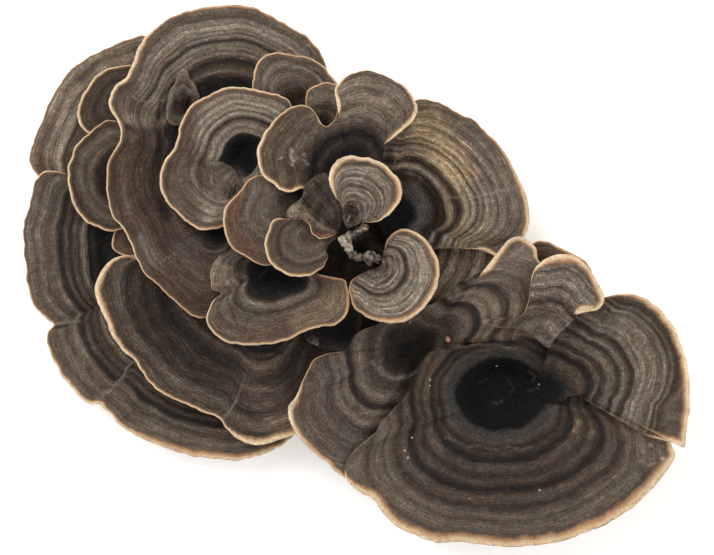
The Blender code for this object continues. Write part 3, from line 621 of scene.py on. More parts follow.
LOOKS = {
    "far_left_cap": Look(
        (
            (0.0, COAL), (0.45, UMBER), (0.6, BROWN), (0.66, UMBER), (0.7, TAUPE), (0.735, BROWN),
            (0.76, BROWN), (0.785, UMBER), (0.81, PALE), (0.835, GREY), (0.86, BROWN), (0.885, GREY),
            (0.91, TAUPE), (0.93, BROWN), (0.955, TAUPE), (0.98, GREY), (1.0, TAUPE),
        ),
        (
            (140, 37, 1, 0.7), (90, 56, 1, 0.8), (40, 120, 1, 0.9), (29, 155, 1, 0.8), (35, 175, 2, 0.3),
            (60, 198, 0, 0),
        ),
        tints=(
            (((56, 118), (70, 88)), 13, LIFT, 0.75),
            (((100, 62), (125, 50)), 12, LIFT, 0.4),
            (((60, 150), (60, 165)), 7, LIFT, 0.5),
            (((33, 150), (36, 165)), 9, RUDDY, 0.5),
        ),
        gain=1.4,
    ),
    "lower_left_cap": Look(
        (
            (0.0, BLACK), (0.45, BLACK), (0.6, COAL), (0.665, BLACK), (0.69, UMBER), (0.712, BLACK),
            (0.735, GREY), (0.752, UMBER), (0.775, BROWN), (0.79, COAL), (0.81, BROWN), (0.825, COAL),
            (0.842, COAL), (0.862, TAUPE), (0.88, BROWN), (0.905, BROWN), (0.925, TAUPE), (0.95, BROWN),
            (0.975, TAUPE), (1.0, BROWN),
        ),
        (
            (60, 172, 0.6, 0.2), (45, 171, 2, 0.1), (34, 181, 1.2, 0.4), (25, 240, 0.6, 0.8),
            (28, 290, 1.5, 0.8), (45, 319, 2.5, 0.5), (50, 328, 1.5, 0.4), (47, 338, 1.5, 0.6),
            (66, 380, 4, 0.4), (98, 403, 4, 0.1), (107, 408, 3, 0.4), (142, 438, 5, 0.6),
            (200, 457, 6, 0.6), (262, 453, 6, 0.3), (290, 430, 2, 0.3), (306, 275, 0, 0),
        ),
        ridges=(
            (((51, 326), (62, 323), (78, 322)), 2.0, 0.25, 0.35),
            (((97, 402), (104, 394), (110, 391), (117, 383)), 2.4, 0.4, 0.5),
            (((108, 394), (116, 383), (123, 377), (126, 369), (134, 361)), 1.3, 0.3, 0.6),
            (((120, 383), (126, 374), (131, 370)), 1.6, 0.15, 0.3),
            (((51, 329), (60, 327), (66, 325)), 1.3, -0.3, -0.8),
        ),
        tints=(
            (((60, 285), (66, 300)), 6, LIFT, 0.7),
            (((75, 345), (95, 370)), 16, LIFT, 0.35),
            (((40, 190), (30, 240)), 12, ASHEN, 0.35),
            (((140, 405), (230, 435)), 14, PAINTED_SHADE, 0.4),
            (((96, 230), (96, 290)), 10, PAINTED_DARK_SHADE, 0.6),
        ),
        gain=1.2,
    ),
    "small_left_cap": Look(
        (
            (0.0, UMBER), (0.35, UMBER), (0.5, BROWN), (0.62, UMBER), (0.75, BROWN), (0.85, BROWN),
            (0.93, UMBER), (1.0, BROWN),
        ),
        (
            (130, 67, 1.2, 0.5), (108, 70, 2, 0.4), (88, 86, 2.6, 0.1), (79, 112, 3, 0.0),
            (88, 133, 3, 0.0), (138, 100, 0, 0),
        ),
        contrast=0.75,
    ),
    "tiny_left_cap": Look(
        ((0.0, UMBER), (0.6, RUSSET), (1.0, BROWN)),
        ((112, 240, 2, 0.1), (124, 256, 2, 0.2), (148, 240, 0, 0)),
        contrast=0.8,
        step=0.36,
    ),
    "left_ear_cap": Look(
        (
            (0.0, BLACK), (0.3, COAL), (0.45, COAL), (0.52, UMBER), (0.6, TAUPE), (0.68, BROWN),
            (0.78, TAUPE), (0.86, BROWN), (0.93, UMBER), (1.0, BROWN),
        ),
        (
            (117, 121, 1, 0.3), (98, 124, 1.2, 0.4), (76, 145, 2, 0.3), (67, 175, 2.6, 0.2),
            (79, 212, 2.6, 0.3), (100, 229, 3, 0.5), (114, 232, 2, 0.6), (142, 190, 0, 0),
        ),
        contrast=0.85,
        tints=((((105, 130), (97, 160)), 9, LIFT, 0.3),),
    ),
    "wide_lower_cap": Look(
        (
            (0.0, BLACK), (0.4, BLACK), (0.43, COAL), (0.455, BLACK), (0.48, UMBER), (0.5, COAL),
            (0.53, BROWN), (0.56, UMBER), (0.6, COAL), (0.64, COAL), (0.68, UMBER), (0.72, COAL),
            (0.77, UMBER), (0.82, COAL), (0.88, BROWN), (0.94, UMBER), (1.0, BROWN),
        ),
        (
            (138, 257, 1, 0.2), (114, 258, 3, 0.0), (97, 285, 6, 0.0), (106, 323, 6, 0.05),
            (128, 357, 3.5, 0.2), (147, 379, 2.5, 0.3), (202, 413, 2.5, 0.3), (226, 426, 2, 0.1),
            (250, 443, 7, 0.2), (275, 441, 7, 0.2), (296, 434, 6, 0.5), (322, 400, 0, 0), (240, 237, 0, 0),
        ),
        ridges=(
            (((223, 419), (231, 409), (236, 401)), 0.7, 0.15, 0.75),
            (((236, 401), (241, 387), (245, 378)), 0.6, 0.15, 0.45),
            (((245, 378), (248, 366), (251, 357)), 0.8, 0.15, 0.2),
        ),
        contrast=1.2,
        tints=(
            (((258, 385), (285, 420)), 28, (2.1, 2.0, 1.95), 0.85),
            (((270, 360), (300, 365)), 9, LIFT, 0.5),
            (((255, 372), (258, 392)), 6, LIFT, 0.3),
            (((155, 300), (170, 340), (210, 365)), 20, PAINTED_SHADE, 0.45),
        ),
        gain=1.45,
    ),
    "dark_tucked_cap": Look(
        ((0.0, BLACK), (0.5, BLACK), (0.8, COAL), (1.0, UMBER)),
        ((318, 348, 0, 0.2),),
        knobs=((312, 343, 6.5, 1.0, 0.5),),
        tints=(
            (((311, 345),), 7, (5.0, 4.6, 4.2), 0.9),
            (((330, 343), (342, 348)), 5, LIFT, 0.8),
        ),
    ),
    "under_right_cap": Look(
        (
            (0.0, BLACK), (0.3, COAL), (0.36, BLACK), (0.42, COAL), (0.47, TAUPE), (0.52, UMBER),
            (0.57, GREY), (0.62, BROWN), (0.67, TAUPE), (0.72, BROWN), (0.77, GREY), (0.83, UMBER),
            (0.9, TAUPE), (1.0, BROWN),
        ),
        ((508, 256, 0, 0.2),),
        centre=(388, 240),
        whole=120,
        contrast=1.3,
        gain=2.1,
    ),
    "tan_right_cap": Look(
        (
            (0.0, BLACK), (0.19, BLACK), (0.23, SLATE), (0.3, SLATE), (0.335, UMBER), (0.36, COAL),
            (0.385, UMBER), (0.41, COAL), (0.45, PALE), (0.475, BROWN), (0.5, COAL), (0.53, BROWN),
            (0.56, PALE), (0.59, TAUPE), (0.61, PALE), (0.645, UMBER), (0.67, GREY), (0.69, BROWN),
            (0.715, PALE), (0.74, TAUPE), (0.77, GREY), (0.8, BROWN), (0.83, GREY), (0.87, BROWN),
            (0.91, TAUPE), (0.95, BROWN), (1.0, TAUPE),
        ),
        (
            (412, 101, 0.8, 0.9), (440, 104, 1, 1.0), (471, 120, 1.2, 0.9), (494, 138, 2, 0.8),
            (513, 165, 3, 0.6), (528, 196, 5, 0.3), (530, 215, 5, 0.3), (522, 240, 3, 0.3),
            (510, 251, 3, 0.1), (498, 256, 3.5, 0.0), (487, 250.5, 2, 0.0), (470, 249, 1, 0.2),
            (440, 248.5, 0.6, 0.3), (430, 249, 0, 0), (386, 240, 0, 0), (380, 190, 0, 0), (394, 130, 0, 0),
        ),
        centre=(387, 216),
        whole=110,
        contrast=1.15,
        ridges=(
            (
                (
                    (392, 170), (396, 158), (406, 150), (418, 148), (432, 147), (441, 140), (449, 134),
                    (456, 128), (461, 121),
                ),
                1.0, 0.25, 0.6,
            ),
            (((446, 197), (460, 198), (478, 197), (505, 190), (518, 187)), 1.3, 0.2, 0.45),
            (((462, 122), (470, 124)), 1.5, 0.2, 0.4),
        ),
        tints=(
            (((425, 128), (440, 150), (458, 172)), 24, (2.1, 1.95, 1.5), 0.85),
            (((455, 205), (470, 235)), 20, OLIVINE, 0.5),
            (((415, 108), (440, 112)), 12, (0.9, 0.85, 0.82), 0.5),
            (((480, 140), (505, 170), (515, 205)), 16, (1.4, 1.42, 1.42), 0.7),
            (((415, 175), (424, 205), (418, 232)), 9, (1.9, 2.0, 2.05), 0.8),
            (((395, 160), (410, 172)), 8, (2.2, 2.1, 1.9), 0.6),
            (((388, 150), (392, 165)), 7, PAINTED_DARK_SHADE, 0.8),
            (((436, 200), (440, 245)), 6, PAINTED_SHADE, 0.5),
        ),
        gain=1.32,
    ),
    "back_right_cap": Look(
        ((0.0, BLACK), (0.5, COAL), (0.8, RUSSET), (1.0, BROWN)),
        (
            (545, 241, 1.5, 0.9), (570, 252, 2.5, 0.8), (591, 267, 2.5, 0.7), (598, 290, 0, 0),
            (523, 295, 0, 0),
        ),
    ),
    "fan_lobed_cap": Look(
        (
            (0.0, COAL), (0.18, COAL), (0.22, UMBER), (0.25, BROWN), (0.285, UMBER), (0.33, UMBER),
            (0.37, BROWN), (0.41, TAUPE), (0.445, BROWN), (0.475, COAL), (0.51, COAL), (0.535, TAUPE),
            (0.58, BROWN), (0.63, TAUPE), (0.665, UMBER), (0.7, COAL), (0.73, BROWN), (0.77, TAUPE),
            (0.81, BROWN), (0.84, UMBER), (0.88, TAUPE), (0.93, BROWN), (1.0, TAUPE),
        ),
        (
            (345, 350, 0, 0), (330, 353, 0.6, 0.2), (316, 358.5, 1, 0.2), (302, 385, 1.5, 0.2),
            (289, 405, 5, 0.0), (290, 420, 6, 0.1), (300, 438, 5, 0.4), (315, 450, 4, 0.7),
            (338, 470, 4, 0.6), (352, 476, 4, 0.5), (370, 462, 0, 0), (450, 366, 0, 0), (522, 342, 0, 0),
            (555, 300, 0, 0), (543, 268, 1, 0.2), (536, 249, 5, 0.3), (528, 240, 5, 0.2),
            (518, 236, 4.5, 0.1), (508, 240, 3.5, 0.1), (500, 250, 1.2, 0.3), (489, 266, 0, 0),
            (457, 284, 0, 0), (425, 307, 0, 0),
        ),
        centre=(408, 348),
        whole=122,
        plain=(0.060, 0.046, 0.038),
        calms=(
            (((315, 375), (318, 415), (345, 452)), 30, 0.65),
            (((510, 262), (520, 290)), 18, 0.6),
        ),
        ridges=(
            (
                (
                    (372, 362), (382, 373), (395, 379), (410, 377), (421, 369), (428, 358), (440, 351),
                    (452, 352),
                ),
                1.8, 0.6, 0.45,
            ),
            (((437, 287), (448, 299), (462, 295), (474, 289)), 1.5, 0.25, 0.3),
        ),
        tints=(
            (((408, 350), (425, 345)), 13, (0.5, 0.55, 0.57), 0.9),
            (((405, 326), (430, 322), (448, 334), (436, 346), (412, 344)), 17, (1.75, 1.85, 1.9), 0.9),
            (((385, 322), (386, 345)), 10, (1.3, 1.25, 1.2), 0.7),
            (((500, 262), (520, 270)), 20, (1.6, 1.62, 1.66), 0.7),
            (((480, 300), (505, 310)), 18, (1.6, 1.62, 1.55), 0.6),
            (((466, 340), (500, 336), (530, 338)), 7, (1.6, 1.5, 1.4), 0.7),
            (((300, 395), (330, 440)), 10, RUDDY, 0.4),
        ),
        gain=1.35,
    ),
    "funnel_cap": Look(
        (
            (0.0, BLACK), (0.235, BLACK), (0.262, SLATE), (0.3, SLATE), (0.325, BROWN), (0.345, UMBER),
            (0.365, COAL), (0.385, UMBER), (0.4, UMBER), (0.42, COAL), (0.445, COAL), (0.47, BROWN),
            (0.5, BROWN), (0.525, UMBER), (0.545, UMBER), (0.575, BROWN), (0.6, UMBER), (0.62, COAL),
            (0.64, COAL), (0.67, BROWN), (0.7, BROWN), (0.73, UMBER), (0.745, UMBER), (0.77, BROWN),
            (0.8, TAUPE), (0.825, BROWN), (0.86, TAUPE), (0.9, TAUPE), (0.93, BROWN), (1.0, TAUPE),
        ),
        (
            (357, 448, 0, 0), (342, 471, 0, 0), (348, 480, 4, 0.5), (362, 491, 7, 0.3), (384, 512, 8, 0.4),
            (455, 541, 9, 0.5), (530, 546, 9, 0.5), (606, 524, 10, 0.6), (645, 498, 10, 0.45),
            (668, 468, 9, 0.3), (674, 452, 6, 0.2), (664, 434, 1, 0.2), (640, 414, 0, 0), (552, 348, 0, 0),
            (530, 344, 0, 0), (480, 343.5, 0, 0), (449, 351, 0, 0), (421, 362, 0, 0), (405, 398, 0.2, 0.3),
            (377, 430, 0.2, 0.2),
        ),
        centre=(501, 394),
        whole=140,
        contrast=0.85,
        pit=(501, 395, 47, 37, 0.25),
        ridges=(
            (((478, 385), (484, 381), (488, 379)), 1.0, 0.0, 0.12),
            (((493, 403), (499, 404), (505, 400)), 1.0, 0.0, 0.2),
            (((508, 379), (514, 388), (511, 397)), 1.2, 0.0, 0.07),
            (((530, 392), (540, 388), (553, 391)), 1.5, 0.1, 0.08),
            (((441, 350), (455, 348), (475, 345), (497, 345), (516, 350)), 1.4, 0.15, 0.3),
            (((530, 372), (536, 377), (533, 382)), 1.2, 0.2, 0.15),
            (((352, 451), (361, 444), (374, 434)), 1.4, 0.3, 0.6),
            (
                (
                    (446, 438), (458, 441), (468, 447), (480, 446), (494, 450), (508, 447), (522, 450),
                    (534, 447),
                ),
                1.2, 0.35, 0.25,
            ),
            (((640, 432), (650, 436), (662, 440)), 1.5, 0.3, 0.7),
            (((640, 461), (650, 466), (655, 463)), 1.5, 0.3, 0.6),
        ),
        tints=(
            (((430, 355), (436, 375), (428, 395)), 10, (1.5, 1.35, 1.1), 0.6),
            (((400, 405), (390, 430), (400, 450)), 14, LIFT, 0.35),
            (((575, 430), (578, 422)), 4, (3.4, 3.3, 3.0), 0.7),
            (((593, 432), (588, 436)), 3.5, (2.6, 2.5, 2.3), 0.6),
            (((640, 440), (655, 455)), 12, LIFT, 0.8),
            (((651, 445),), 3, (3.0, 2.9, 2.8), 0.9),
            (((664, 459),), 2.5, (3.4, 3.2, 3.0), 0.9),
            (((450, 470), (500, 478), (550, 468)), 26, (0.75, 0.7, 0.7), 0.5),
        ),
        gain=1.05,
    ),
    "far_right_cap": Look(
        (
            (0.0, BLACK), (0.1, BLACK), (0.14, COAL), (0.18, UMBER), (0.24, BROWN), (0.27, BROWN),
            (0.3, COAL), (0.33, COAL), (0.355, BROWN), (0.37, TAUPE), (0.39, UMBER), (0.42, UMBER),
            (0.45, TAUPE), (0.49, TAUPE), (0.52, UMBER), (0.535, UMBER), (0.565, GREY), (0.59, BROWN),
            (0.61, UMBER), (0.63, UMBER), (0.655, GREY), (0.68, TAUPE), (0.7, PALE), (0.73, TAUPE),
            (0.77, GREY), (0.8, TAUPE), (0.83, BROWN), (0.86, GREY), (0.885, UMBER), (0.905, TAUPE),
            (0.93, UMBER), (1.0, TAUPE),
        ),
        (
            (595, 302, 0, 0), (604, 297, 1.2, 0.9), (625, 294, 2, 0.8), (648, 300, 5, 0.5),
            (664, 313, 6, 0.4), (680, 343, 6, 0.2), (690, 388, 7, 0.2), (687, 430, 6, 0.3),
            (684, 446, 6, 0.2), (672, 443, 3, 0.1), (648, 436, 0.6, 0), (616, 418, 0, 0), (588, 400, 0, 0),
            (560, 398, 0, 0), (548, 357, 0, 0),
        ),
        centre=(545, 392),
        whole=125,
        contrast=1.1,
        ridges=((((572, 396), (588, 401), (602, 410), (618, 419)), 1.0, 0.15, 0.4),),
        tints=(
            (((560, 362), (573, 371)), 8, (1.35, 1.35, 1.15), 0.6),
            (((545, 376), (556, 391)), 6, PAINTED_SHADE, 0.8),
            (((585, 345), (600, 365)), 14, LIFT, 0.4),
            (((620, 318), (650, 350), (662, 400)), 16, LIFT, 0.4),
            (((677, 345), (680, 400), (678, 435)), 4, RUDDY, 0.6),
        ),
    ),
    "tongue_cap": Look(
        (
            (0.0, TAUPE), (0.25, GREY), (0.35, BROWN), (0.45, TAUPE), (0.5, UMBER), (0.54, BROWN),
            (0.6, GREY), (0.66, BROWN), (0.72, PALE), (0.78, TAUPE), (0.82, GREY), (0.86, BROWN),
            (0.9, GREY), (0.95, BROWN), (1.0, TAUPE),
        ),
        (
            (532, 285, 0.6, 0.1), (535, 270, 1.5, 0.1), (545, 258, 6, 0.1), (564, 254, 9, 0.2),
            (580, 260, 7, 0.4), (592, 273, 5, 0.4), (603, 291, 6, 0.2), (604, 302, 5, 0.1),
            (595, 310, 3, 0.0), (582, 310.5, 0.6, 0.1), (574, 319, 0, 0), (549, 349, 0, 0),
            (512, 328, 0.3, 0.1), (484, 322, 0.5, 0.1), (520, 316.5, 0.4, 0.1),
        ),
        centre=(541, 345),
        whole=85,
        contrast=1.35,
        ridges=(
            (((532, 338), (540, 338), (548, 344)), 2.5, 0.4, 0.35),
            (((548, 300), (562, 304), (580, 311)), 1.8, -0.3, -0.5),
        ),
        tints=(
            (((487, 322), (505, 321), (535, 328)), 10, (0.72, 0.72, 0.72), 0.8),
            (((545, 343), (540, 330)), 12, (0.66, 0.64, 0.62), 0.85),
            (((575, 285), (585, 298)), 10, ASHEN, 0.5),
        ),
        streaks=1.6,
        step=0.36,
        gain=1.15,
    ),
    "big_upper_cap": Look(
        (
            (0.0, BLACK), (0.5, BLACK), (0.545, COAL), (0.57, UMBER), (0.59, TAUPE), (0.605, BROWN),
            (0.63, UMBER), (0.65, COAL), (0.675, BROWN), (0.695, GREY), (0.71, BROWN), (0.725, GREY),
            (0.74, TAUPE), (0.755, GREY), (0.776, COAL), (0.795, BROWN), (0.805, GREY), (0.82, BROWN),
            (0.835, GREY), (0.85, TAUPE), (0.87, PALE), (0.885, TAUPE), (0.91, GREY), (0.93, BROWN),
            (0.96, TAUPE), (1.0, TAUPE),
        ),
        (
            (335, 90, 0, 0), (328, 70, 1.5, 0.6), (305, 38, 1.5, 0.7), (268, 14, 2, 0.9),
            (228, 5.5, 2.5, 1.0), (200, 8, 2.2, 0.9), (172, 17, 1.5, 0.8), (155, 30, 2, 0.5),
            (143, 41, 4.5, 0.2), (130, 71, 4, 0.0), (113, 87, 3.5, 0.0), (109, 105, 3.5, 0.0),
            (121, 134, 2.5, 0.1), (118, 146, 2, 0.2), (110, 157, 2.2, 0.7), (106, 180, 2, 0.3),
            (110, 210, 1.8, 0.1), (131, 244, 2, 0.1), (143, 272, 1.6, 0.2), (160, 286, 1.5, 0.4),
            (200, 318, 1.8, 0.5), (222, 305, 0, 0), (284, 168, 0, 0), (348, 122, 0, 0),
        ),
        ridges=(
            (((134, 98), (145, 102), (157, 100), (166, 101), (174, 95)), 0.8, 0.12, 0.35),
            # The groove beside the horn lobe, darkened with painted shadow
            (((176, 82), (167, 91), (161, 100), (158.5, 110), (159, 119)), 2.0, -0.4, -0.8),
            (((186, 238), (196, 233), (206, 229)), 1.5, -0.2, -0.6),
            (((161, 263), (168, 258), (175, 253)), 0.6, 0.1, 0.6),
            (((168, 264), (177, 257)), 0.5, 0.1, 0.4),
        ),
        plain=(0.056, 0.040, 0.031),
        calms=(
            (((112, 155), (112, 200), (122, 232), (140, 270), (165, 295), (198, 312)), 16, 0.75),
            (((138, 135), (140, 190), (158, 240)), 20, 0.75),
            (((168, 232), (185, 262), (205, 292)), 32, 0.9),
            (((128, 85), (128, 112), (150, 118)), 14, 0.6),
        ),
        tints=(
            (((127, 118), (140, 122), (162, 124)), 7, LIFT, 0.9),
            (((128, 127), (134, 131)), 4, PAINTED_DARK_SHADE, 0.6),
            (((125, 92), (135, 105)), 11, (0.75, 0.66, 0.66), 0.8),
            (((122, 150), (120, 190), (130, 225)), 20, (0.72, 0.60, 0.55), 0.9),
            (((148, 140), (146, 190), (165, 240)), 16, (0.6, 0.52, 0.47), 0.9),
            (((165, 275), (190, 300), (210, 308)), 20, (0.75, 0.62, 0.56), 0.9),
            (((163, 130), (162, 160), (166, 215)), 8, PAINTED_DARK_SHADE, 0.7),
            (((168, 108), (170, 130)), 6, (1.3, 1.25, 1.12), 0.5),
            (((195, 88), (215, 82), (245, 84)), 8, PAINTED_DARK_SHADE, 0.5),
            (((120, 65), (150, 45)), 10, RUDDY, 0.5),
            (((200, 30), (240, 28)), 14, ASHEN, 0.3),
        ),
        gain=1.15,
    ),
    "upper_back_cap": Look(
        (
            (0.0, COAL), (0.3, UMBER), (0.45, BROWN), (0.55, TAUPE), (0.65, BROWN), (0.75, GREY),
            (0.82, BROWN), (0.9, TAUPE), (1.0, BROWN),
        ),
        (
            (253, 92, 1, 0.3), (254, 70, 2.5, 0.3), (268, 54, 2, 0.5), (292, 54, 1.8, 0.7),
            (317, 62, 2, 0.7), (335, 83, 2, 0.5), (340, 110, 0, 0), (270, 122, 0, 0),
        ),
        tints=(
            (((290, 100), (300, 95)), 8, PAINTED_SHADE, 0.7),
            (((265, 72), (275, 85)), 10, LIFT, 0.3),
        ),
        step=0.4,
        gain=1.1,
    ),
    "upper_middle_cap": Look(
        (
            (0.0, BLACK), (0.3, BLACK), (0.335, COAL), (0.36, GREY), (0.42, TAUPE), (0.47, GREY),
            (0.52, BROWN), (0.555, COAL), (0.58, BROWN), (0.62, PALE), (0.66, BROWN), (0.7, PALE),
            (0.74, TAUPE), (0.78, PALE), (0.82, TAUPE), (0.88, GREY), (0.93, BROWN), (1.0, BROWN),
        ),
        (
            (292, 107, 1, 0.3), (280, 97, 2, 0.4), (255, 90, 2.5, 0.3), (232, 86, 2.5, 0.3),
            (206, 97, 2.5, 0.4), (186, 113, 2.6, 0.3), (178, 138, 2.6, 0.2), (163, 165, 3, 0.2),
            (161, 185, 3, 0.1), (170, 207, 2.5, 0.2), (190, 224, 2.5, 0.3), (203, 230, 3, 0.5),
            (222, 227, 2, 0.8), (240, 218, 0, 0), (288, 150, 0, 0),
        ),
        lobes=(
            (
                (
                    (203, 168), (207, 163), (214, 161), (223, 162), (231, 166), (236, 171), (239, 178),
                    (243, 184), (241, 190), (236, 196), (228, 202),
                ),
                0.585, 0.8, 6, 0.3,
            ),
        ),
        ridges=(
            # Crinkles by the lobe, darkened with painted shade
            (((229, 184), (233, 189), (230, 195)), 0.9, -0.3, -0.8),
            (((236, 186), (235, 193), (229, 199)), 0.9, -0.3, -0.8),
            (((203, 166), (201, 182), (203, 202)), 2.2, -0.15, -0.35),
        ),
        plain=(0.070, 0.054, 0.044),
        calms=(
            (((188, 120), (182, 150), (178, 180), (190, 208)), 17, 0.7),
            (((208, 176), (218, 190), (230, 182)), 17, 0.95),
        ),
        tints=(
            (((180, 130), (176, 175), (190, 205)), 20, (0.66, 0.58, 0.54), 0.9),
            (((195, 150), (205, 185)), 12, (0.7, 0.62, 0.58), 0.8),
            (((210, 140), (208, 155)), 7, LIFT, 0.6),
            (((212, 176), (212, 184)), 2, (2.0, 1.9, 1.8), 0.7),
            (((182, 180),), 2, (1.8, 1.7, 1.6), 0.7),
            (((228, 190), (235, 195)), 7, PAINTED_SHADE, 0.8),
            (((240, 150), (250, 165)), 10, PAINTED_DARK_SHADE, 0.6),
            (((222, 170), (228, 178)), 7, (1.1, 1.05, 0.95), 0.5),
            (((190, 120), (195, 112)), 8, (0.85, 0.82, 0.85), 0.6),
        ),
        step=0.36,
        gain=1.3,
    ),
    "tucked_cap": Look(
        (
            (0.0, BLACK), (0.15, COAL), (0.3, BROWN), (0.42, UMBER), (0.55, TAUPE), (0.7, GREY),
            (0.85, TAUPE), (1.0, GREY),
        ),
        ((308, 100, 1.5, 0.7), (316, 86, 2, 0.7), (335, 83, 1.5, 0.6), (348, 100, 0, 0), (314, 128, 0, 0)),
        centre=(322, 124),
        whole=40,
        step=0.36,
    ),
    "knobbly_lower_cap": Look(
        (
            (0.0, BLACK), (0.34, BLACK), (0.42, COAL), (0.455, BROWN), (0.48, GREY), (0.52, TAUPE),
            (0.56, BROWN), (0.6, UMBER), (0.64, BROWN), (0.68, TAUPE), (0.73, BROWN), (0.78, TAUPE),
            (0.84, BROWN), (0.9, TAUPE), (0.95, BROWN), (1.0, TAUPE),
        ),
        (
            (232, 250, 0, 0), (213, 266, 0.4, 0.1), (210, 280, 0.6, 0.1), (221, 293, 0.4, 0.1),
            (208, 312, 1.5, 0.0), (207, 325, 2, 0.1), (226, 341, 2.5, 0.3), (262, 345, 3, 0.4),
            (300, 335, 3, 0.6), (318, 328, 3, 0.6), (340, 321, 2.5, 0.4), (350, 300, 4, 0.7),
            (349, 288, 3, 0.6), (340, 279, 1, 0.4), (318, 273, 0, 0), (270, 238, 0, 0),
        ),
        ridges=(
            (((213, 302), (222, 298), (232, 292)), 2.0, -0.3, -0.5),
            (((228, 300), (234, 315), (238, 328)), 1.2, -0.15, -0.5),
            (((268, 262), (267, 270), (260, 276)), 0.8, 0.2, 0.15),
        ),
        plain=BROWN,
        calms=(
            (((290, 325), (318, 312), (338, 292)), 17, 0.8),
            (((225, 315), (250, 328), (285, 328)), 12, 0.6),
        ),
        knobs=(
            (222, 262, 6, 0.35, 0.3), (217, 279, 6, 0.45, 0.45), (232, 272, 6, 0.3, 0.2),
            (231, 284, 5, 0.4, 0.3), (214, 287, 4, 0.3, 0.5), (219, 270, 4, 0.3, 0.4),
            (213, 272, 4, 0.2, 0.5),
        ),
        tints=(
            (((219, 270), (222, 285), (230, 290)), 10, (1.25, 1.2, 1.15), 0.7),
            (((228, 258), (245, 268)), 9, PAINTED_SHADE, 0.8),
            (((250, 268), (270, 285), (290, 282)), 14, PAINTED_DARK_SHADE, 0.8),
            (((305, 320), (325, 308), (338, 296)), 16, (2.1, 1.95, 1.7), 0.85),
            (((245, 292), (265, 302), (286, 301), (304, 290)), 6, (0.72, 0.7, 0.7), 0.8),
            (((219, 259), (213, 268), (212, 280), (217, 290)), 3.5, (1.9, 1.8, 1.7), 0.8),
            (((228, 284), (236, 283)), 3.5, (1.8, 1.75, 1.65), 0.8),
            (((330, 290), (338, 298)), 9, ASHEN, 0.6),
            (((225, 325), (250, 335), (285, 330)), 10, RUDDY, 0.6),
        ),
        step=0.38,
        gain=1.25,
    ),
    "red_brown_cap": Look(
        (
            (0.0, COAL), (0.25, UMBER), (0.4, BROWN), (0.5, TAUPE), (0.58, BROWN), (0.68, TAUPE),
            (0.78, BROWN), (0.86, RUSSET), (0.93, BROWN), (1.0, RUSSET),
        ),
        (
            (264, 176, 0.6, 0.5), (249, 180, 2, 0.9), (232, 199, 2, 0.6), (224, 212, 2.6, 0.2),
            (226, 234, 2.2, 0.2), (243, 255, 2, 0.4), (260, 262, 1.5, 0.6), (284, 256, 0, 0),
            (312, 204, 0, 0), (295, 181, 0, 0),
        ),
        centre=(300, 192),
        whole=65,
        tints=(
            (((258, 205), (265, 225)), 14, (0.95, 1.0, 1.02), 0.6),
            (((236, 200), (230, 230), (245, 250)), 9, RUDDY, 0.7),
            (((285, 200), (295, 196)), 9, PAINTED_SHADE, 0.7),
        ),
        step=0.36,
        gain=1.3,
    ),
    "round_middle_cap": Look(
        (
            (0.0, BROWN), (0.2, BROWN), (0.35, TAUPE), (0.5, BROWN), (0.62, TAUPE), (0.72, UMBER),
            (0.8, BROWN), (0.88, BROWN), (1.0, TAUPE),
        ),
        (
            (290, 219.5, 0.5, 0.3), (274, 221, 2, 0.4), (265, 240, 3, 0.3), (268, 260, 3, 0.3),
            (285, 274, 3, 0.2), (304, 277, 3, 0.2), (320, 270, 1.5, 0.4), (328, 257, 0.3, 0.3),
            (327, 248, 0, 0), (330, 226, 0, 0),
        ),
        centre=(312, 236),
        whole=36,
        contrast=0.6,
        tints=((((278, 240), (285, 262)), 8, RUDDY, 0.4),),
        step=0.34,
        gain=1.1,
    ),
    "twin_lobed_cap": Look(
        (
            (0.0, BLACK), (0.2, BLACK), (0.27, COAL), (0.32, UMBER), (0.36, COAL), (0.41, BLACK),
            (0.46, UMBER), (0.52, BROWN), (0.6, TAUPE), (0.68, BROWN), (0.75, TAUPE), (0.82, BROWN),
            (0.9, TAUPE), (1.0, BROWN),
        ),
        (
            (383, 158, 0, 0), (387, 145, 0, 0), (394, 138, 0.4, 0.2), (403, 130.5, 2, 0.0),
            (412, 122, 3.5, 0.0), (417, 110, 4.5, 0.1), (412, 97, 3, 0.3), (398, 84, 1.2, 0.6),
            (384, 76, 0.8, 0.7), (366, 71, 0.8, 0.8), (348, 75, 1, 0.5), (338, 83, 3, 0.0),
            (335, 95, 4, 0.0), (338, 108, 1, 0.0), (336, 118, 0.5, 0.1), (326, 127, 0.6, 0.1),
            (317, 116, 0.8, 0.3), (301, 106.5, 1.5, 0.5), (280, 115, 2, 0.4), (262, 140, 3.5, 0.2),
            (257, 152, 4, 0.1), (262, 175, 3.5, 0.2), (281, 190, 3.5, 0.1), (291, 193, 3, 0.3),
            (298, 191, 0.5, 0.2), (312, 192, 0, 0), (366, 190, 0, 0),
        ),
        whole=90,
        contrast=1.15,
        ridges=(
            (((322, 127), (318, 138), (316, 152), (318, 170)), 1.8, -0.3, -0.35),
            (((292, 150), (292.5, 153)), 1.3, 0.15, 1.6),
            (((291.5, 156), (292, 159), (294, 162)), 1.2, 0.15, 1.6),
            (((292, 164), (292.5, 165.5)), 1.0, 0.1, 1.3),
            (((279, 160), (282, 158)), 0.8, 0.1, 1.2),
            (((304, 154), (305, 157)), 1.1, 0.1, 0.9),
            (((305, 161), (308, 165)), 1.1, 0.1, 0.9),
            (((298, 157), (299, 161)), 0.8, 0.1, 0.6),
            (((386, 122), (386, 145), (384, 158)), 1.2, -0.25, -0.6),
        ),
        tints=(
            (((285, 125), (275, 160), (290, 180)), 22, (0.88, 0.76, 0.68), 0.85),
            (((300, 175), (316, 165)), 12, PAINTED_SHADE, 0.6),
            (((325, 180), (335, 190)), 12, PAINTED_SHADE, 0.7),
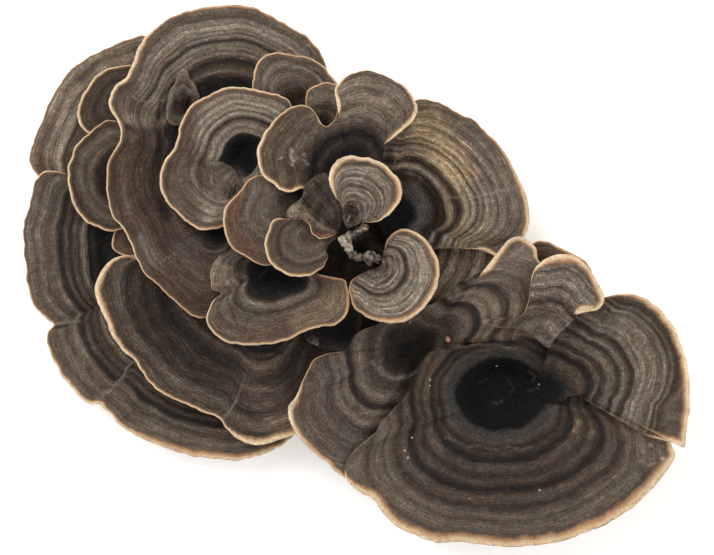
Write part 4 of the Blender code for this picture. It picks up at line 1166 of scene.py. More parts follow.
            (((350, 90), (375, 95), (392, 105)), 20, (1.7, 1.72, 1.72), 0.85),
            (((350, 115), (375, 118)), 10, (1.15, 1.15, 1.12), 0.6),
            (((345, 140), (372, 140)), 9, PAINTED_SHADE, 0.5),
            (((365, 108), (385, 100)), 8, (1.25, 1.22, 1.2), 0.4),
        ),
        step=0.36,
        gain=1.2,
    ),
    "kidney_cap": Look(
        (
            (0.0, TAUPE), (0.08, BROWN), (0.14, TAUPE), (0.2, GREY), (0.25, BROWN), (0.31, GREY),
            (0.35, TAUPE), (0.4, PALE), (0.44, BROWN), (0.48, GREY), (0.53, COAL), (0.58, BROWN),
            (0.62, PALE), (0.66, TAUPE), (0.7, PALE), (0.74, TAUPE), (0.78, PALE), (0.83, GREY),
            (0.87, PALE), (0.91, TAUPE), (1.0, RUSSET),
        ),
        (
            (383, 250, 0, 0), (386, 242, 1.5, 0.0), (395, 232, 2.5, 0.1), (410, 229, 3.5, 0.1),
            (428, 242, 4, 0.3), (438, 268, 4.5, 0.3), (431, 299, 5.5, 0.3), (406, 320, 5.5, 0.4),
            (380, 321, 4.5, 0.6), (358, 309, 2.5, 0.7), (351, 290, 1.5, 0.7), (356, 277, 0.5, 0.3),
            (370, 270, 0, 0),
        ),
        centre=(371, 264),
        whole=44,
        contrast=1.4,
        step=0.3,
        ridges=(
            (((383, 252), (392, 251), (399, 256), (402, 264), (400, 273), (394, 280)), 1.3, 0.4, 0.5),
            (
                ((384, 256), (391, 256), (396, 261), (397, 268), (393, 275), (384, 282), (374, 287)),
                1.6, -0.35, -0.6,
            ),
            (((380, 262), (387, 261), (390, 265), (388, 271), (381, 276)), 1.0, 0.3, 0.4),
        ),
        tints=(
            (((358, 290), (372, 302), (390, 304)), 8, (0.84, 0.76, 0.72), 0.5),
            (((378, 270), (388, 268)), 6, (0.75, 0.72, 0.7), 0.6),
            (((405, 240), (425, 262), (418, 292)), 12, (1.1, 1.1, 1.1), 0.7),
        ),
        gain=1.35,
    ),
    "knobbly_centre_cap": Look(
        (
            (0.0, COAL), (0.2, UMBER), (0.35, BROWN), (0.5, UMBER), (0.62, BROWN), (0.75, UMBER),
            (0.88, BROWN), (1.0, UMBER),
        ),
        (
            (300, 199, 0, 0.1), (288, 212, 0.3, 0.1), (305, 222, 0.3, 0.2), (310, 228, 1.0, 0.0),
            (312, 234, 1.2, 0.0), (320, 239, 1.3, 0.0), (332, 237, 1.0, 0.1), (338, 232, 0, 0.3),
            (342, 208, 0, 0), (320, 189, 0, 0),
        ),
        centre=(345, 226),
        whole=62,
        streaks=2.6,
        step=0.28,
        ridges=(
            (((305, 194), (300, 203), (291, 211)), 1.6, 0.4, 0.5),
            (((291, 213), (300, 212), (309, 216), (318, 224), (326, 230), (335, 232)), 1.5, 0.45, 0.45),
            (((301, 217), (309, 222), (312, 229)), 1.0, 0.3, 0.4),
            (((309, 186), (320, 200), (334, 217)), 1.3, 0.3, 0.1),
            (((315, 183), (327, 198), (338, 214)), 1.5, -0.35, -0.5),
            (((303, 199), (313, 209), (330, 224)), 1.3, -0.3, -0.5),
            (((328, 182), (335, 197), (340, 212)), 1.2, 0.25, 0.15),
        ),
        knobs=(
            (293.5, 212, 6, 0.5, 0.5), (301, 210, 5, 0.4, 0.4), (299, 217, 4, 0.3, 0.4),
            (308, 219, 4, 0.3, 0.3),
        ),
        tints=(
            (((293, 212), (300, 213)), 8, (3.2, 3.0, 2.7), 0.9),
            (((306, 218), (316, 226), (328, 231)), 5, (2.1, 1.95, 1.8), 0.8),
            (((315, 234), (324, 237), (334, 233.5)), 3.2, (2.7, 1.5, 1.35), 0.95),
            (((317, 230.5), (324, 232.5), (331, 231)), 2.6, (0.7, 0.5, 0.5), 0.85),
            (((314, 205), (332, 222)), 8, (0.75, 0.7, 0.66), 0.8),
            (((297, 194), (301, 196)), 5, PAINTED_DARK_SHADE, 0.8),
            (((322, 188), (334, 205)), 9, (0.8, 0.78, 0.74), 0.6),
        ),
    ),
    "top_centre_cap": Look(
        (
            (0.0, UMBER), (0.1, BROWN), (0.15, UMBER), (0.2, TAUPE), (0.25, BROWN), (0.3, GREY),
            (0.345, BROWN), (0.385, PALE), (0.43, TAUPE), (0.47, PALE), (0.51, BROWN), (0.55, GREY),
            (0.59, TAUPE), (0.63, PALE), (0.67, BROWN), (0.71, PALE), (0.75, GREY), (0.8, PALE),
            (0.85, TAUPE), (0.9, BROWN), (1.0, RUSSET),
        ),
        (
            (334, 197, 1.5, 0.1), (329, 180, 5, 0.0), (335, 165, 6, 0.0), (349, 157.5, 5, 0.0),
            (365, 158, 4, 0.2), (388, 170, 5, 0.3), (400, 190, 5.5, 0.4), (398, 203, 5, 0.4),
            (390, 214, 4, 0.2), (380, 221, 2, 0.1), (370, 222, 0.8, 0.1), (360, 222, 0, 0),
            (345, 213, 0, 0), (338, 202, 0.5, 0.1),
        ),
        centre=(351, 216),
        whole=33,
        contrast=1.4,
        step=0.3,
        ridges=(
            (((343, 206), (347, 201), (353, 200), (358, 204), (359, 210)), 1.2, 0.35, 0.35),
            (((344, 211), (350, 206), (356, 209), (357, 216)), 1.1, -0.3, -0.6),
            (((342, 197), (350, 193), (360, 196), (366, 205), (366, 215)), 1.1, 0.25, 0.35),
            (((347, 222), (348.5, 219), (350, 216.5)), 0.9, 0.1, 1.0),
        ),
        knobs=((349, 220, 6.5, 0.7, 0.15),),
        tints=(
            (((348, 207), (351, 216)), 7, (0.5, 0.44, 0.42), 0.9),
            (((349, 216), (350, 228)), 7, (0.42, 0.38, 0.35), 0.9),
            (((345, 172), (362, 176)), 14, (1.15, 1.15, 1.14), 0.7),
            (((380, 185), (384, 205)), 8, (1.0, 0.92, 0.84), 0.6),
        ),
        gain=1.08,
    ),
}

# Small lobes that lie on a cap: the cap's name and the lobe
LOBES = (
    (
        "big_upper_cap",
        Cap(
            "horn_lobe",
            level(
                20, (184, 68.5), (180, 70.5), (177.5, 76), (175.5, 83), (171.5, 89.5), (168.5, 96),
                (167, 104), (166.5, 113), (168, 122), (176, 127), (185, 122), (191, 112), (197, 105),
                (200, 98), (197.5, 92), (194, 85), (190.5, 79), (188, 73),
            ),
            (184, 108, 20),
            (184, 108, 2.0),
            crown=0.5,
            segments=18,
            wave=0.05,
        ),
    ),
)
LOBE_LOOKS = {
    "horn_lobe": Look(
        ((0.0, COAL), (0.3, UMBER), (0.5, BROWN), (0.62, TAUPE), (0.75, BROWN), (0.85, TAUPE), (1.0, GREY)),
        ((184, 68.5, 0, 0),),
        step=0.3,
        ridges=(
            (((176, 86), (183, 82.5), (191, 88)), 0.9, -0.2, -0.7),
            (((171, 104), (173, 95), (180, 88), (187, 88), (193, 95)), 1.2, 0.25, 0.35),
            (((175, 108), (177, 99), (183, 94), (190, 99)), 1.2, -0.25, -0.4),
            (((168.5, 112), (170, 98), (175, 88)), 0.8, 0.1, 0.4),
        ),
        tints=(
            (((190, 100), (192, 112)), 8, PAINTED_SHADE, 0.9),
            (((184, 72), (183, 77)), 5, (1.6, 1.6, 1.6), 0.9),
        ),
    ),
}

# Lumps at the middle: centre in pixels, height of the centre in mm, radius in pixels
BUDS = (
    (359, 231, 35.8, 4.6),
    (365, 228, 35.4, 4.4),
    (351, 236, 35.4, 5.0),
    (344, 241, 36.2, 6.0),
    (349, 248.5, 36.4, 5.0),
    (353, 255, 35.8, 4.4),
    (359, 257, 34.8, 4.6),
    (369, 258, 33.6, 7.6),
    (378, 259, 32.6, 4.2),
)
BUD_STALK = (347, 241, 1.4, 36.2)  # centre in pixels, radius and height in mm
BUD_VOXEL = 0.00022  # metres, for growing the lumps together
# The tone of each lump, in the same order
BUD_TONES = (
    (0.150, 0.130, 0.105), (0.240, 0.170, 0.120), (0.070, 0.052, 0.043), (0.220, 0.190, 0.150),
    (0.250, 0.210, 0.160), (0.085, 0.074, 0.066), (0.095, 0.060, 0.048), (0.120, 0.098, 0.076),
    (0.070, 0.055, 0.045),
)

GRAIN_FLATNESS = 0.6  # how high a grain is for its width
# Grains of debris: centre and radius in pixels, and whether it is the pink one
GRAINS = (
    (449, 339, 3.0, 1), (405, 451, 1.5, 0), (408, 458, 1.6, 0), (540, 490.5, 1.5, 0), (430, 380, 1.4, 0),
    (430, 386, 1.2, 0), (497, 366, 1.2, 0), (540, 385, 1.1, 0), (412, 438, 1.1, 0), (410, 322, 1.3, 0),
    (470, 499, 0.9, 0), (207, 40, 1.0, 0),
)


def place(x, y):
    """The place in metres of a pixel of the picture."""
    return (x - PICTURE_ORIGIN[0]) * PIXEL, (PICTURE_ORIGIN[1] - y) * PIXEL


def places(points):
    """Points of the picture with heights in mm, as an array in metres."""
    return np.array([(*place(x, y), z * MM) for x, y, z in points])


def line_of(points):
    """A line through points of the picture, as an array in metres."""
    return np.array([place(x, y) for x, y in points])


def linked(name, data):
    """A new object of the scene."""
    made = bpy.data.objects.new(name, data)
    bpy.context.scene.collection.objects.link(made)
    return made


def smoothstep(low, high, value):
    t = np.clip((value - low) / (high - low), 0, 1)
    return t * t * (3 - 2 * t)


def hermite(f, h, before, after, slope_before, slope_after):
    """The cubic over a step h, at the share f of the step, with these values and slopes at its ends."""
    return (
        (2 * f**3 - 3 * f**2 + 1) * before
        + (f**3 - 2 * f**2 + f) * h * slope_before
        + (3 * f**2 - 2 * f**3) * after
        + (f**3 - f**2) * h * slope_after
    )


def closed_curve(points, count):
    """A smooth closed curve through the points, counter-clockwise seen from above."""
    after = np.roll(points, -1, axis=0)
    if (points[:, 0] * after[:, 1] - after[:, 0] * points[:, 1]).sum() < 0:
        points = points[::-1]
    n = len(points)
    step = np.linalg.norm(np.roll(points, -1, axis=0) - points, axis=1)[:, None]
    slope = (np.roll(points, -1, axis=0) - points) / step
    before, last = np.roll(step, 1, axis=0), np.roll(slope, 1, axis=0)
    tangent = (slope * before + last * step) / (step + before)
    t = np.arange(count) * n / count
    i = t.astype(int)
    j = (i + 1) % n
    return hermite((t - i)[:, None], step[i], points[i], points[j], tangent[i], tangent[j])


def profile_at(profile, share):
    """The profile's rise at a share of the way out, through its points with no corners."""
    x, y = np.array(profile, float).T
    slope = np.gradient(y, x)
    i = np.clip(np.searchsorted(x, share) - 1, 0, len(x) - 2)
    h = x[i + 1] - x[i]
    return hermite((share - x[i]) / h, h, y[i], y[i + 1], slope[i], slope[i + 1])


def noise(points, period, seed):
    """Smooth noise from -1 to 1 at each point, with one cell for each period."""
    cell = np.floor(points / period).astype(np.int64)
    f = points / period - cell
    f = f * f * (3 - 2 * f)
    total = np.zeros(points.shape[:-1])
    for corner in range(8):
        offset = np.array([corner & 1, corner >> 1 & 1, corner >> 2])
        mixed = ((cell + offset) * (374761393, 668265263, 974634777)).sum(axis=-1) + seed * 362437
        mixed = ((mixed ^ (mixed >> 13)) & 0xFFFFFFFF) * 1274126177 & 0xFFFFFFFF
        weight = np.where(offset == 1, f, 1 - f).prod(axis=-1)
        total += weight * ((mixed ^ (mixed >> 16)) & 0xFFFF)
    return total / 32767.5 - 1


def noises(points, terms, seed=0):
    """The weighted sum of some noises."""
    return sum(weight * noise(points, period, seed + more) for period, weight, more in terms)


def seed_of(name):
    return sum(ord(letter) for letter in name)


def shares_out(rings, bend):
    """Shares of the way out, from the hub at 0 to the rim at 1. A bend over 1 draws them to the rim."""
    return np.array([1 - (1 - k / rings) ** bend for k in range(rings + 1)])


def skins(cap, shares, count, crenulated=False):
    """The top and the underside of a cap, with a row for each share of the way out, and its reach."""
    rim = closed_curve(places(cap.rim), count)
    hub = places([cap.hub])[0]
    spoke = rim[:, :2] - hub[:2]
    reach = np.hypot(spoke[:, 0], spoke[:, 1])
    direction = spoke / reach[:, None]
    around = np.arctan2(spoke[:, 1], spoke[:, 0])
    even = rounded(reach, max(1, count // 16))
    waves = sum(np.sin(n * around + seed_of(cap.name) * n) / n**0.5 for n in (3, 5, 8)) * cap.wave * MM
    share = np.array(shares)[:, None]
    blend = smoothstep(0.3, 1.0, share)
    far = share * ((1 - blend) * np.minimum(even, reach * 1.15) + blend * reach)
    top = np.empty((len(shares), count, 3))
    if cap.span:
        rise = profile_at(cap.profile, np.minimum(far / (cap.span * PIXEL), 1))
        rise = rise / profile_at(cap.profile, np.minimum(reach / (cap.span * PIXEL), 1))
    else:
        rise = profile_at(cap.profile, share)
    top[..., 2] = hub[2] + (rim[:, 2] - hub[2]) * rise + waves * share**2
    top[..., 2] += cap.crown * MM * 4 * share * (1 - share) - MARGIN_CURL * share**6
    if crenulated:
        notches = noises(rim, NOTCHES, seed_of(cap.name))
        far = far + CRENULATION * notches * smoothstep(0.6, 1.0, share)
    top[..., :2] = hub[:2] + far[..., None] * direction
    under = top.copy()
    thick = CAP_THICKNESS + (MARGIN_THICKNESS - CAP_THICKNESS) * share
    under[..., 2] -= thick if crenulated else np.where(share < 1, thick, 0)
    return top, under, reach


def height_below(x, y, trees):
    """The height of the highest of the lower pieces under a place, or 0."""
    best = 0.0
    for tree in trees:
        hit = tree.ray_cast(Vector((x, y, 1.0)), DOWN)[0]
        if hit is not None:
            best = max(best, hit.z)
    return best


def lay(cap, top, under, trees):
    """Draws the neck down to what is below it, and lifts the rest clear of the lower pieces."""
    sink = DEEP_SINKS.get(cap.name, SINK)
    centre = np.array(place(*cap.neck[:2]))
    radius = cap.neck[2] * MM
    ring = np.linspace(0, 2 * math.pi, 13)
    foot = [(0, 0)] + [(radius * math.cos(a), radius * math.sin(a)) for a in ring]
    floor = max(height_below(centre[0] + x, centre[1] + y, trees) for x, y in foot) - sink
    far = np.hypot(*np.moveaxis(under[..., :2] - centre, -1, 0))
    neck = (1 - smoothstep(radius, cap.flare * radius, far)) ** 2
    under[..., 2] += (np.minimum(floor, under[..., 2]) - under[..., 2]) * neck
    last = len(under) - 1
    for i, row in enumerate(under):
        for j, point in enumerate(row):
            least = height_below(point[0], point[1], trees)
            least += -sink if far[i, j] <= radius else CLEARANCE
            point[2] = max(point[2], least)
            top[i, j, 2] = max(top[i, j, 2], point[2] + LEAST_THICKNESS)
            if i == last:
                point[2] = top[i, j, 2]


def quads(rows, count):
    """The faces between rows of vertices that follow a first pole and end in a last one."""
    first = 1 + np.arange(rows - 1)[:, None] * count + np.arange(count)
    after = 1 + np.arange(rows - 1)[:, None] * count + (np.arange(count) + 1) % count
    sides = np.stack([first, first + count, after + count, after], axis=-1).reshape(-1, 4)
    last = 1 + rows * count
    start = [(0, 1 + j, 1 + (j + 1) % count) for j in range(count)]
    end = [(last, last - count + (j + 1) % count, last - count + j) for j in range(count)]
    return start, sides, end


def coarse_tree(top, under):
    """The laid skins with as few faces as the solid has, for laying the next caps on."""
    count = top.shape[1]
    rows = np.concatenate([top[1:], under[-2:0:-1]])
    points = np.concatenate([top[0, :1], rows.reshape(-1, 3), under[0, :1]])
    start, sides, end = quads(len(rows), count)
    return BVHTree.FromPolygons(points.tolist(), start + sides.tolist() + end)


def spread(lift, from_shares, to_shares, count):
    """A lift known on the coarse grid, at the fine grid's places, with no creases."""
    rows, coarse = lift.shape
    u = np.arange(count) * coarse / count
    i = u.astype(int)
    tangent = (np.roll(lift, -1, axis=1) - np.roll(lift, 1, axis=1)) / 2
    j = (i + 1) % coarse
    fine = hermite(u - i, 1, lift[:, i], lift[:, j], tangent[:, i], tangent[:, j])
    step = np.diff(from_shares)[:, None]
    slope = np.diff(fine, axis=0) / step
    inner = slope[:-1] * slope[1:]
    level = np.where(inner > 0, 2 * inner / (np.abs(slope[:-1] + slope[1:]) + 1e-12) * np.sign(slope[1:]), 0)
    tangent = np.concatenate([slope[:1], level, slope[-1:]])
    k = np.clip(np.searchsorted(from_shares, to_shares) - 1, 0, rows - 2)
    f = ((to_shares - from_shares[k]) / np.diff(from_shares)[k])[:, None]
    return hermite(f, step[k], fine[k], fine[k + 1], tangent[k], tangent[k + 1])


def tone_at(zones, growth):
    """How light the zones are at each growth, as the mean of red, green and blue."""
    shares = [share for share, _ in zones]
    return np.interp(growth, shares, [sum(tone) / 3 for _, tone in zones])


def to_polyline(points, line):
    """The distance of each point to a line through places, all in metres."""
    best = np.full(points.shape[:-1], 1.0)
    for a, b in zip(line[:-1], line[1:]):
        along = b - a
        t = np.clip(((points - a) @ along) / (along @ along), 0, 1)
        best = np.minimum(best, np.linalg.norm(points - a - t[..., None] * along, axis=-1))
    return best


def margin_of(look, rim):
    """The margin's width in mm and its warmth all round the rim, from the points that the look names."""
    length = np.concatenate([[0], np.cumsum(np.linalg.norm(np.diff(rim, axis=0), axis=1))])
    around = length[-1] + np.linalg.norm(rim[0] - rim[-1])
    known = []
    for x, y, width, warmth in look.margin:
        nearest = np.argmin(np.linalg.norm(rim - np.array(place(x, y)), axis=1))
        known.append((length[nearest], width * PIXEL / MM, warmth))
    known.sort()
    at, width, warmth = (list(values) for values in zip(*known))
    return tuple(np.interp(length, at, values, period=around) for values in (width, warmth))


@dataclass
class Skin:
    """A fine cap's rows of points, with what the materials read at each."""

    points: np.ndarray
    reads: dict


def fine_shares(reach, step, edge):
    """Shares of the way out, a step apart, with the edge's own rows at the rim."""
    inner = 1 - edge[0] / reach
    count = max(4, round(reach * inner / step))
    return np.concatenate([np.linspace(0, inner, count + 1), 1 - np.array(edge[1:]) / reach])


def fine_cap(cap, look, lifts):
    """The fine top and underside of a cap, lifted as the coarse ones were when they were laid."""
    length = np.linalg.norm(np.diff(closed_curve(places(cap.rim), RIM_SAMPLES), axis=0), axis=1).sum()
    step = look.step * MM
    count = cap.segments * max(4, round(length / step / cap.segments))
    mean_reach = skins(cap, [1], count)[2].mean()
    up = fine_shares(mean_reach, step, TOP_EDGE_ROWS)
    down = fine_shares(mean_reach, UNDER_COARSENESS * step, UNDER_EDGE_ROWS)
    top, _, reach = skins(cap, up, count, True)
    under = skins(cap, down, count, True)[1]
    (top_shares, lift_top), (under_shares, lift_under) = lifts
    top[..., 2] += spread(lift_top, top_shares, up, count)
    under[..., 2] += spread(lift_under, under_shares, down, count)
    below = between_rows(under[..., 2], down, up)
    top[..., 2] = np.maximum(top[..., 2], below + LEAST_THICKNESS)
    above = between_rows(top[..., 2], up, down)
    return (
        shaped(cap, look, top, up[:, None], reach, below, True),
        shaped(cap, look, under, down[:, None], reach, above, False),
    )


def between_rows(heights, from_shares, to_shares):
    """Heights known at some shares of the way out, at other shares."""
    k = np.clip(np.searchsorted(from_shares, to_shares) - 1, 0, len(from_shares) - 2)
    f = ((to_shares - from_shares[k]) / np.diff(from_shares)[k])[:, None]
    return heights[k] * (1 - f) + heights[k + 1] * f


def direction_of(away):
    """The direction of each offset, as a number from 0 to DIRECTIONS."""
    return (np.arctan2(away[..., 1], away[..., 0]) / (2 * math.pi) + 0.5) * DIRECTIONS


def reach_around(centre, rim):
    """How far the rim is from a centre in every direction, evened out."""
    spoke = rim - centre
    way = direction_of(spoke).astype(int) % DIRECTIONS
    far = np.zeros(DIRECTIONS)
    np.maximum.at(far, way, np.hypot(spoke[:, 0], spoke[:, 1]))
    known = np.flatnonzero(far)
    far = np.interp(np.arange(DIRECTIONS), known, far[known], period=DIRECTIONS)
    return evened(far)


def rounded(values, window):
    """Each value of a closed row as the mean of those around it."""
    return sum(np.roll(values, k) for k in range(-window, window + 1)) / (2 * window + 1)


def evened(values):
    """A closed row with its small bumps taken out."""
    window = len(values) // 32
    return rounded(rounded(values, window), window)


def inside(points, line):
    """Whether each point is inside the outline that the line's ends close."""
    found = np.zeros(points.shape[:-1], bool)
    x, y = points[..., 0], points[..., 1]
    for a, b in zip(line, np.roll(line, -1, axis=0)):
        crosses = (a[1] > y) != (b[1] > y)
        found ^= crosses & (x < a[0] + (y - a[1]) * (b[0] - a[0]) / (b[1] - a[1] + 1e-12))
    return found


def growth_at(cap, look, points, share, reach):
    """How grown each place is, from 0 to 1, the way it grew, and the reach that a growth of 1 is."""
    flat = points[..., :2]
    least = look.whole * PIXEL
    if look.centre:
        centre = np.array(place(*look.centre))
        away = flat - centre
        far = np.linalg.norm(away, axis=-1)
        direction = away / (far + 1e-6)[..., None]
        around = reach_around(centre, flat[-1])
        whole = np.interp(direction_of(away), np.arange(DIRECTIONS), around, period=DIRECTIONS)
        whole = np.maximum(whole, least)
    else:
        hub = np.array(place(*cap.hub[:2]))
        far = np.where(share < 1, np.linalg.norm(flat - hub, axis=-1), reach)
        direction = (flat[-1] - hub) / np.linalg.norm(flat[-1] - hub, axis=-1)[:, None] + 0 * flat
        even = evened(reach)
        whole = np.maximum(even + (reach - even) * smoothstep(0.45, 1.0, share), least)
    growth = far / whole
    longest = whole.max()
    seed = seed_of(cap.name)
    warp = noises(points, WARPS, seed)
    growth = np.clip(growth + warp / longest * smoothstep(0.05, 0.3, growth), 0, 1)
    if look.pit:
        x, y, across, down, grown = look.pit
        away = np.hypot(*np.moveaxis((flat - np.array(place(x, y))) / (across * PIXEL, down * PIXEL), -1, 0))
        away = away * (1 + 0.05 * noise(points, 0.0035, seed + 10))
        growth = growth + (grown * away - growth) * (1 - smoothstep(1.0, 1.9, away))
    for line, grown, _, _, _ in look.lobes:
        line = line_of(line)
        blend = inside(flat, line) * smoothstep(0.0, LOBE_FADE, to_polyline(flat, line[[0, -1]]))
        blend = blend * smoothstep(0.0, LIP, to_polyline(flat, line))
        growth = growth + (grown + 0.008 * noise(points, 0.0013, seed + 9) - growth) * blend
    return growth, direction, longest


def relief(look, flat):
    """The lift and the mark of the ridges, knobs and lobes. A mark over 0 is pale, and one under 0 painted
    shade.
    """
    lift = np.zeros(flat.shape[:-1])
    pale = np.zeros(flat.shape[:-1])
    dark = np.zeros(flat.shape[:-1])
    for line, width, height, mark in look.ridges:
        away = to_polyline(flat, line_of(line)) / (width * PIXEL)
        form = np.exp(-(away**2))
        lift += height * MM * form
        pale = np.maximum(pale, mark * form)
        # Painted shade along a groove or crease
        dark = np.maximum(dark, -mark * form)
    for x, y, radius, height, mark in look.knobs:
        away = np.linalg.norm(flat - np.array(place(x, y)), axis=-1) / (radius * PIXEL)
        lift += height * MM * (1 - smoothstep(0.35, 1.0, away))
        pale = np.maximum(pale, mark * smoothstep(1.1, 0.9, away) * smoothstep(0.55, 0.85, away))
    for line, _, height, rise, mark in look.lobes:
        line = line_of(line)
        within = inside(flat, line)
        away = to_polyline(flat, line)
        fade = smoothstep(0.0, LOBE_FADE, to_polyline(flat, line[[0, -1]]))
        lift += height * MM * smoothstep(-0.3 * rise * PIXEL, rise * PIXEL, away) * fade * within
        pale = np.maximum(pale, mark * np.exp(-(((away - LIP) / LIP_WIDTH) ** 2)) * fade * within)
        # Painted shade in the crease just outside the lobe's edge
        dark = np.maximum(dark, 0.6 * np.exp(-((away / LIP) ** 2)) * fade * ~within)
    return lift, pale - dark


def tint_at(look, points, seed):
    """The factor on the tone at each place, from the look's tints."""
    tint = np.ones(points.shape)
    for line, radius, factor, strength in look.tints:
        line = line_of(line)
        if len(line) == 1:
            away = np.linalg.norm(points[..., :2] - line[0], axis=-1)
        else:
            away = to_polyline(points[..., :2], line)
        away = away / (radius * PIXEL) * (1 + 0.25 * noise(points, 0.004, seed + 7))
        amount = strength * (1 - smoothstep(0.3, 1.2, away))
        tint = tint * (1 + (np.array(factor) - 1) * amount[..., None])
    return tint


def calm_at(look, flat):
    """How far the zones fade to an even tone at each place, from 0 to 1."""
    calm = np.zeros(flat.shape[:-1])
    for line, radius, strength in look.calms:
        away = to_polyline(flat, line_of(line)) / (radius * PIXEL)
        calm = np.maximum(calm, strength * (1 - smoothstep(0.4, 1.2, away)))
    return calm


def shaped(cap, look, points, share, reach, other, is_top):
    """One skin with its relief and its rounded edge, and what the materials read on it."""
    seed = seed_of(cap.name)
    flat = points[..., :2]
    rim = flat[-1]
    growth, direction, longest = growth_at(cap, look, points, share, reach)
    old = growth * longest
    edge = np.full(flat.shape[:-1], 1.0)
    near = share[:, 0] > 0.55
    edge[near] = to_rim(flat[near], rim)
    spoke = np.concatenate([direction * longest, old[..., None]], axis=-1) / MM
    ring = np.stack([old, 0 * old, 0 * old], axis=-1)
    covered = smoothstep(0.04, 0.15, share) * smoothstep(0.0, 0.0016, edge)
    lift = np.zeros(flat.shape[:-1])
    mark = np.zeros(flat.shape[:-1])
    calm = calm_at(look, flat)
    if is_top:
        lift, mark = relief(look, flat)
        banded = covered * (1 - calm)
        lift += RING_RELIEF * noises(ring, RINGS, seed) * banded
        paler = tone_at(look.zones, growth) - MIDDLE_TONE
        lift += TONE_RELIEF * np.clip(paler * TONE_GAIN, -1, 1) * banded
        lift += FOLD_RELIEF * noise(spoke * FOLD_CELLS, 1, seed + 4) * covered
        lift += LUMP_RELIEF * noise(points, 0.0042, seed + 5) * covered
    else:
        lift += 0.5 * LUMP_RELIEF * noise(points, 0.0035, seed + 6) * covered
    tint = tint_at(look, points, seed)
    points = points.copy()
    points[..., 2] += lift
    middle = points[..., 2] + (0.4 if is_top else 0.6) * (other - points[..., 2])
    round_off = np.sqrt(1 - (1 - np.clip((1 - share) * reach / EDGE_ROUND, 0, 1)) ** 2)
    points[..., 2] = middle + (points[..., 2] - middle) * round_off
    width, warmth = margin_of(look, rim)
    reads = {
        "spoke": spoke,
        "growth": growth,
        "edge": edge / MM,
        "margin": width + 0 * growth,
        "warmth": warmth + 0 * growth,
        "mark": mark,
        "calm": calm,
        "tint": tint,
    }
    return Skin(points, reads)


def to_rim(points, rim):
    """The distance of each point to the nearest point of the rim."""
    flat = points.reshape(-1, 2)
    best = np.empty(len(flat))
    for start in range(0, len(flat), BATCH):
        part = slice(start, start + BATCH)
        best[part] = np.hypot(*(flat[part][:, None] - rim).transpose(2, 0, 1)).min(axis=1)
    return best.reshape(points.shape[:-1])


def cap_piece(cap, look, skin_pair):
    """The cap as one closed mesh: its top, its rounded margin and its underside."""
    top, under = skin_pair
    count = top.points.shape[1]

    def joined(up, down):
        rows = np.concatenate([up[1:], down[-2:0:-1]])
        return np.concatenate([up[0, :1], rows.reshape(-1, *up.shape[2:]), down[0, :1]])

    points = joined(top.points, under.points)
    rows = len(top.points) - 1 + len(under.points) - 2
    start, sides, end = quads(rows, count)
    top_faces = len(start) + (len(top.points) - 2) * count
    mesh = bpy.data.meshes.new(cap.name + "_grown")
    mesh.from_pydata(points.tolist(), [], start + sides.tolist() + end)
    mesh.polygons.foreach_set("use_smooth", [True] * len(mesh.polygons))
    mesh.polygons.foreach_set("material_index", [0] * top_faces + [1] * (len(mesh.polygons) - top_faces))
    for name in top.reads:
        values = joined(top.reads[name], under.reads[name])
        write_read(mesh, name, values)
    unwrap(mesh, points, top_faces)
    mesh.materials.append(top_material(cap, look))
    mesh.materials.append(pore_material())
    mesh.update()
    return linked(cap.name + "_grown", mesh)


def write_read(mesh, name, values):
    """Keeps what the materials read as an attribute of the mesh."""
    kind, key = ("FLOAT", "value") if values.ndim == 1 else ("FLOAT_VECTOR", "vector")
    attribute = mesh.attributes.new(name, kind, "POINT")
    attribute.data.foreach_set(key, values.astype(np.float32).ravel())


def unwrap(mesh, points, top_faces):
    """Two islands side by side: the top and the underside, each seen from above."""
    low, high = points.min(axis=0), points.max(axis=0)
    scale = ISLAND_SIZE / max(high[0] - low[0], (high[1] - low[1]) / 2)
    flat = (points[:, :2] - low[:2]) * scale + ISLAND_MARGIN
    corners = np.empty(len(mesh.loops), np.int32)
    mesh.loops.foreach_get("vertex_index", corners)
    starts = np.empty(len(mesh.polygons), np.int32)
    mesh.polygons.foreach_get("loop_start", starts)
    uv = flat[corners]
    uv[starts[top_faces] :, 0] += UNDERSIDE_SHIFT
    layer = mesh.uv_layers.new(name="OFBake")
    layer.uv.foreach_set("vector", uv.astype(np.float32).ravel())


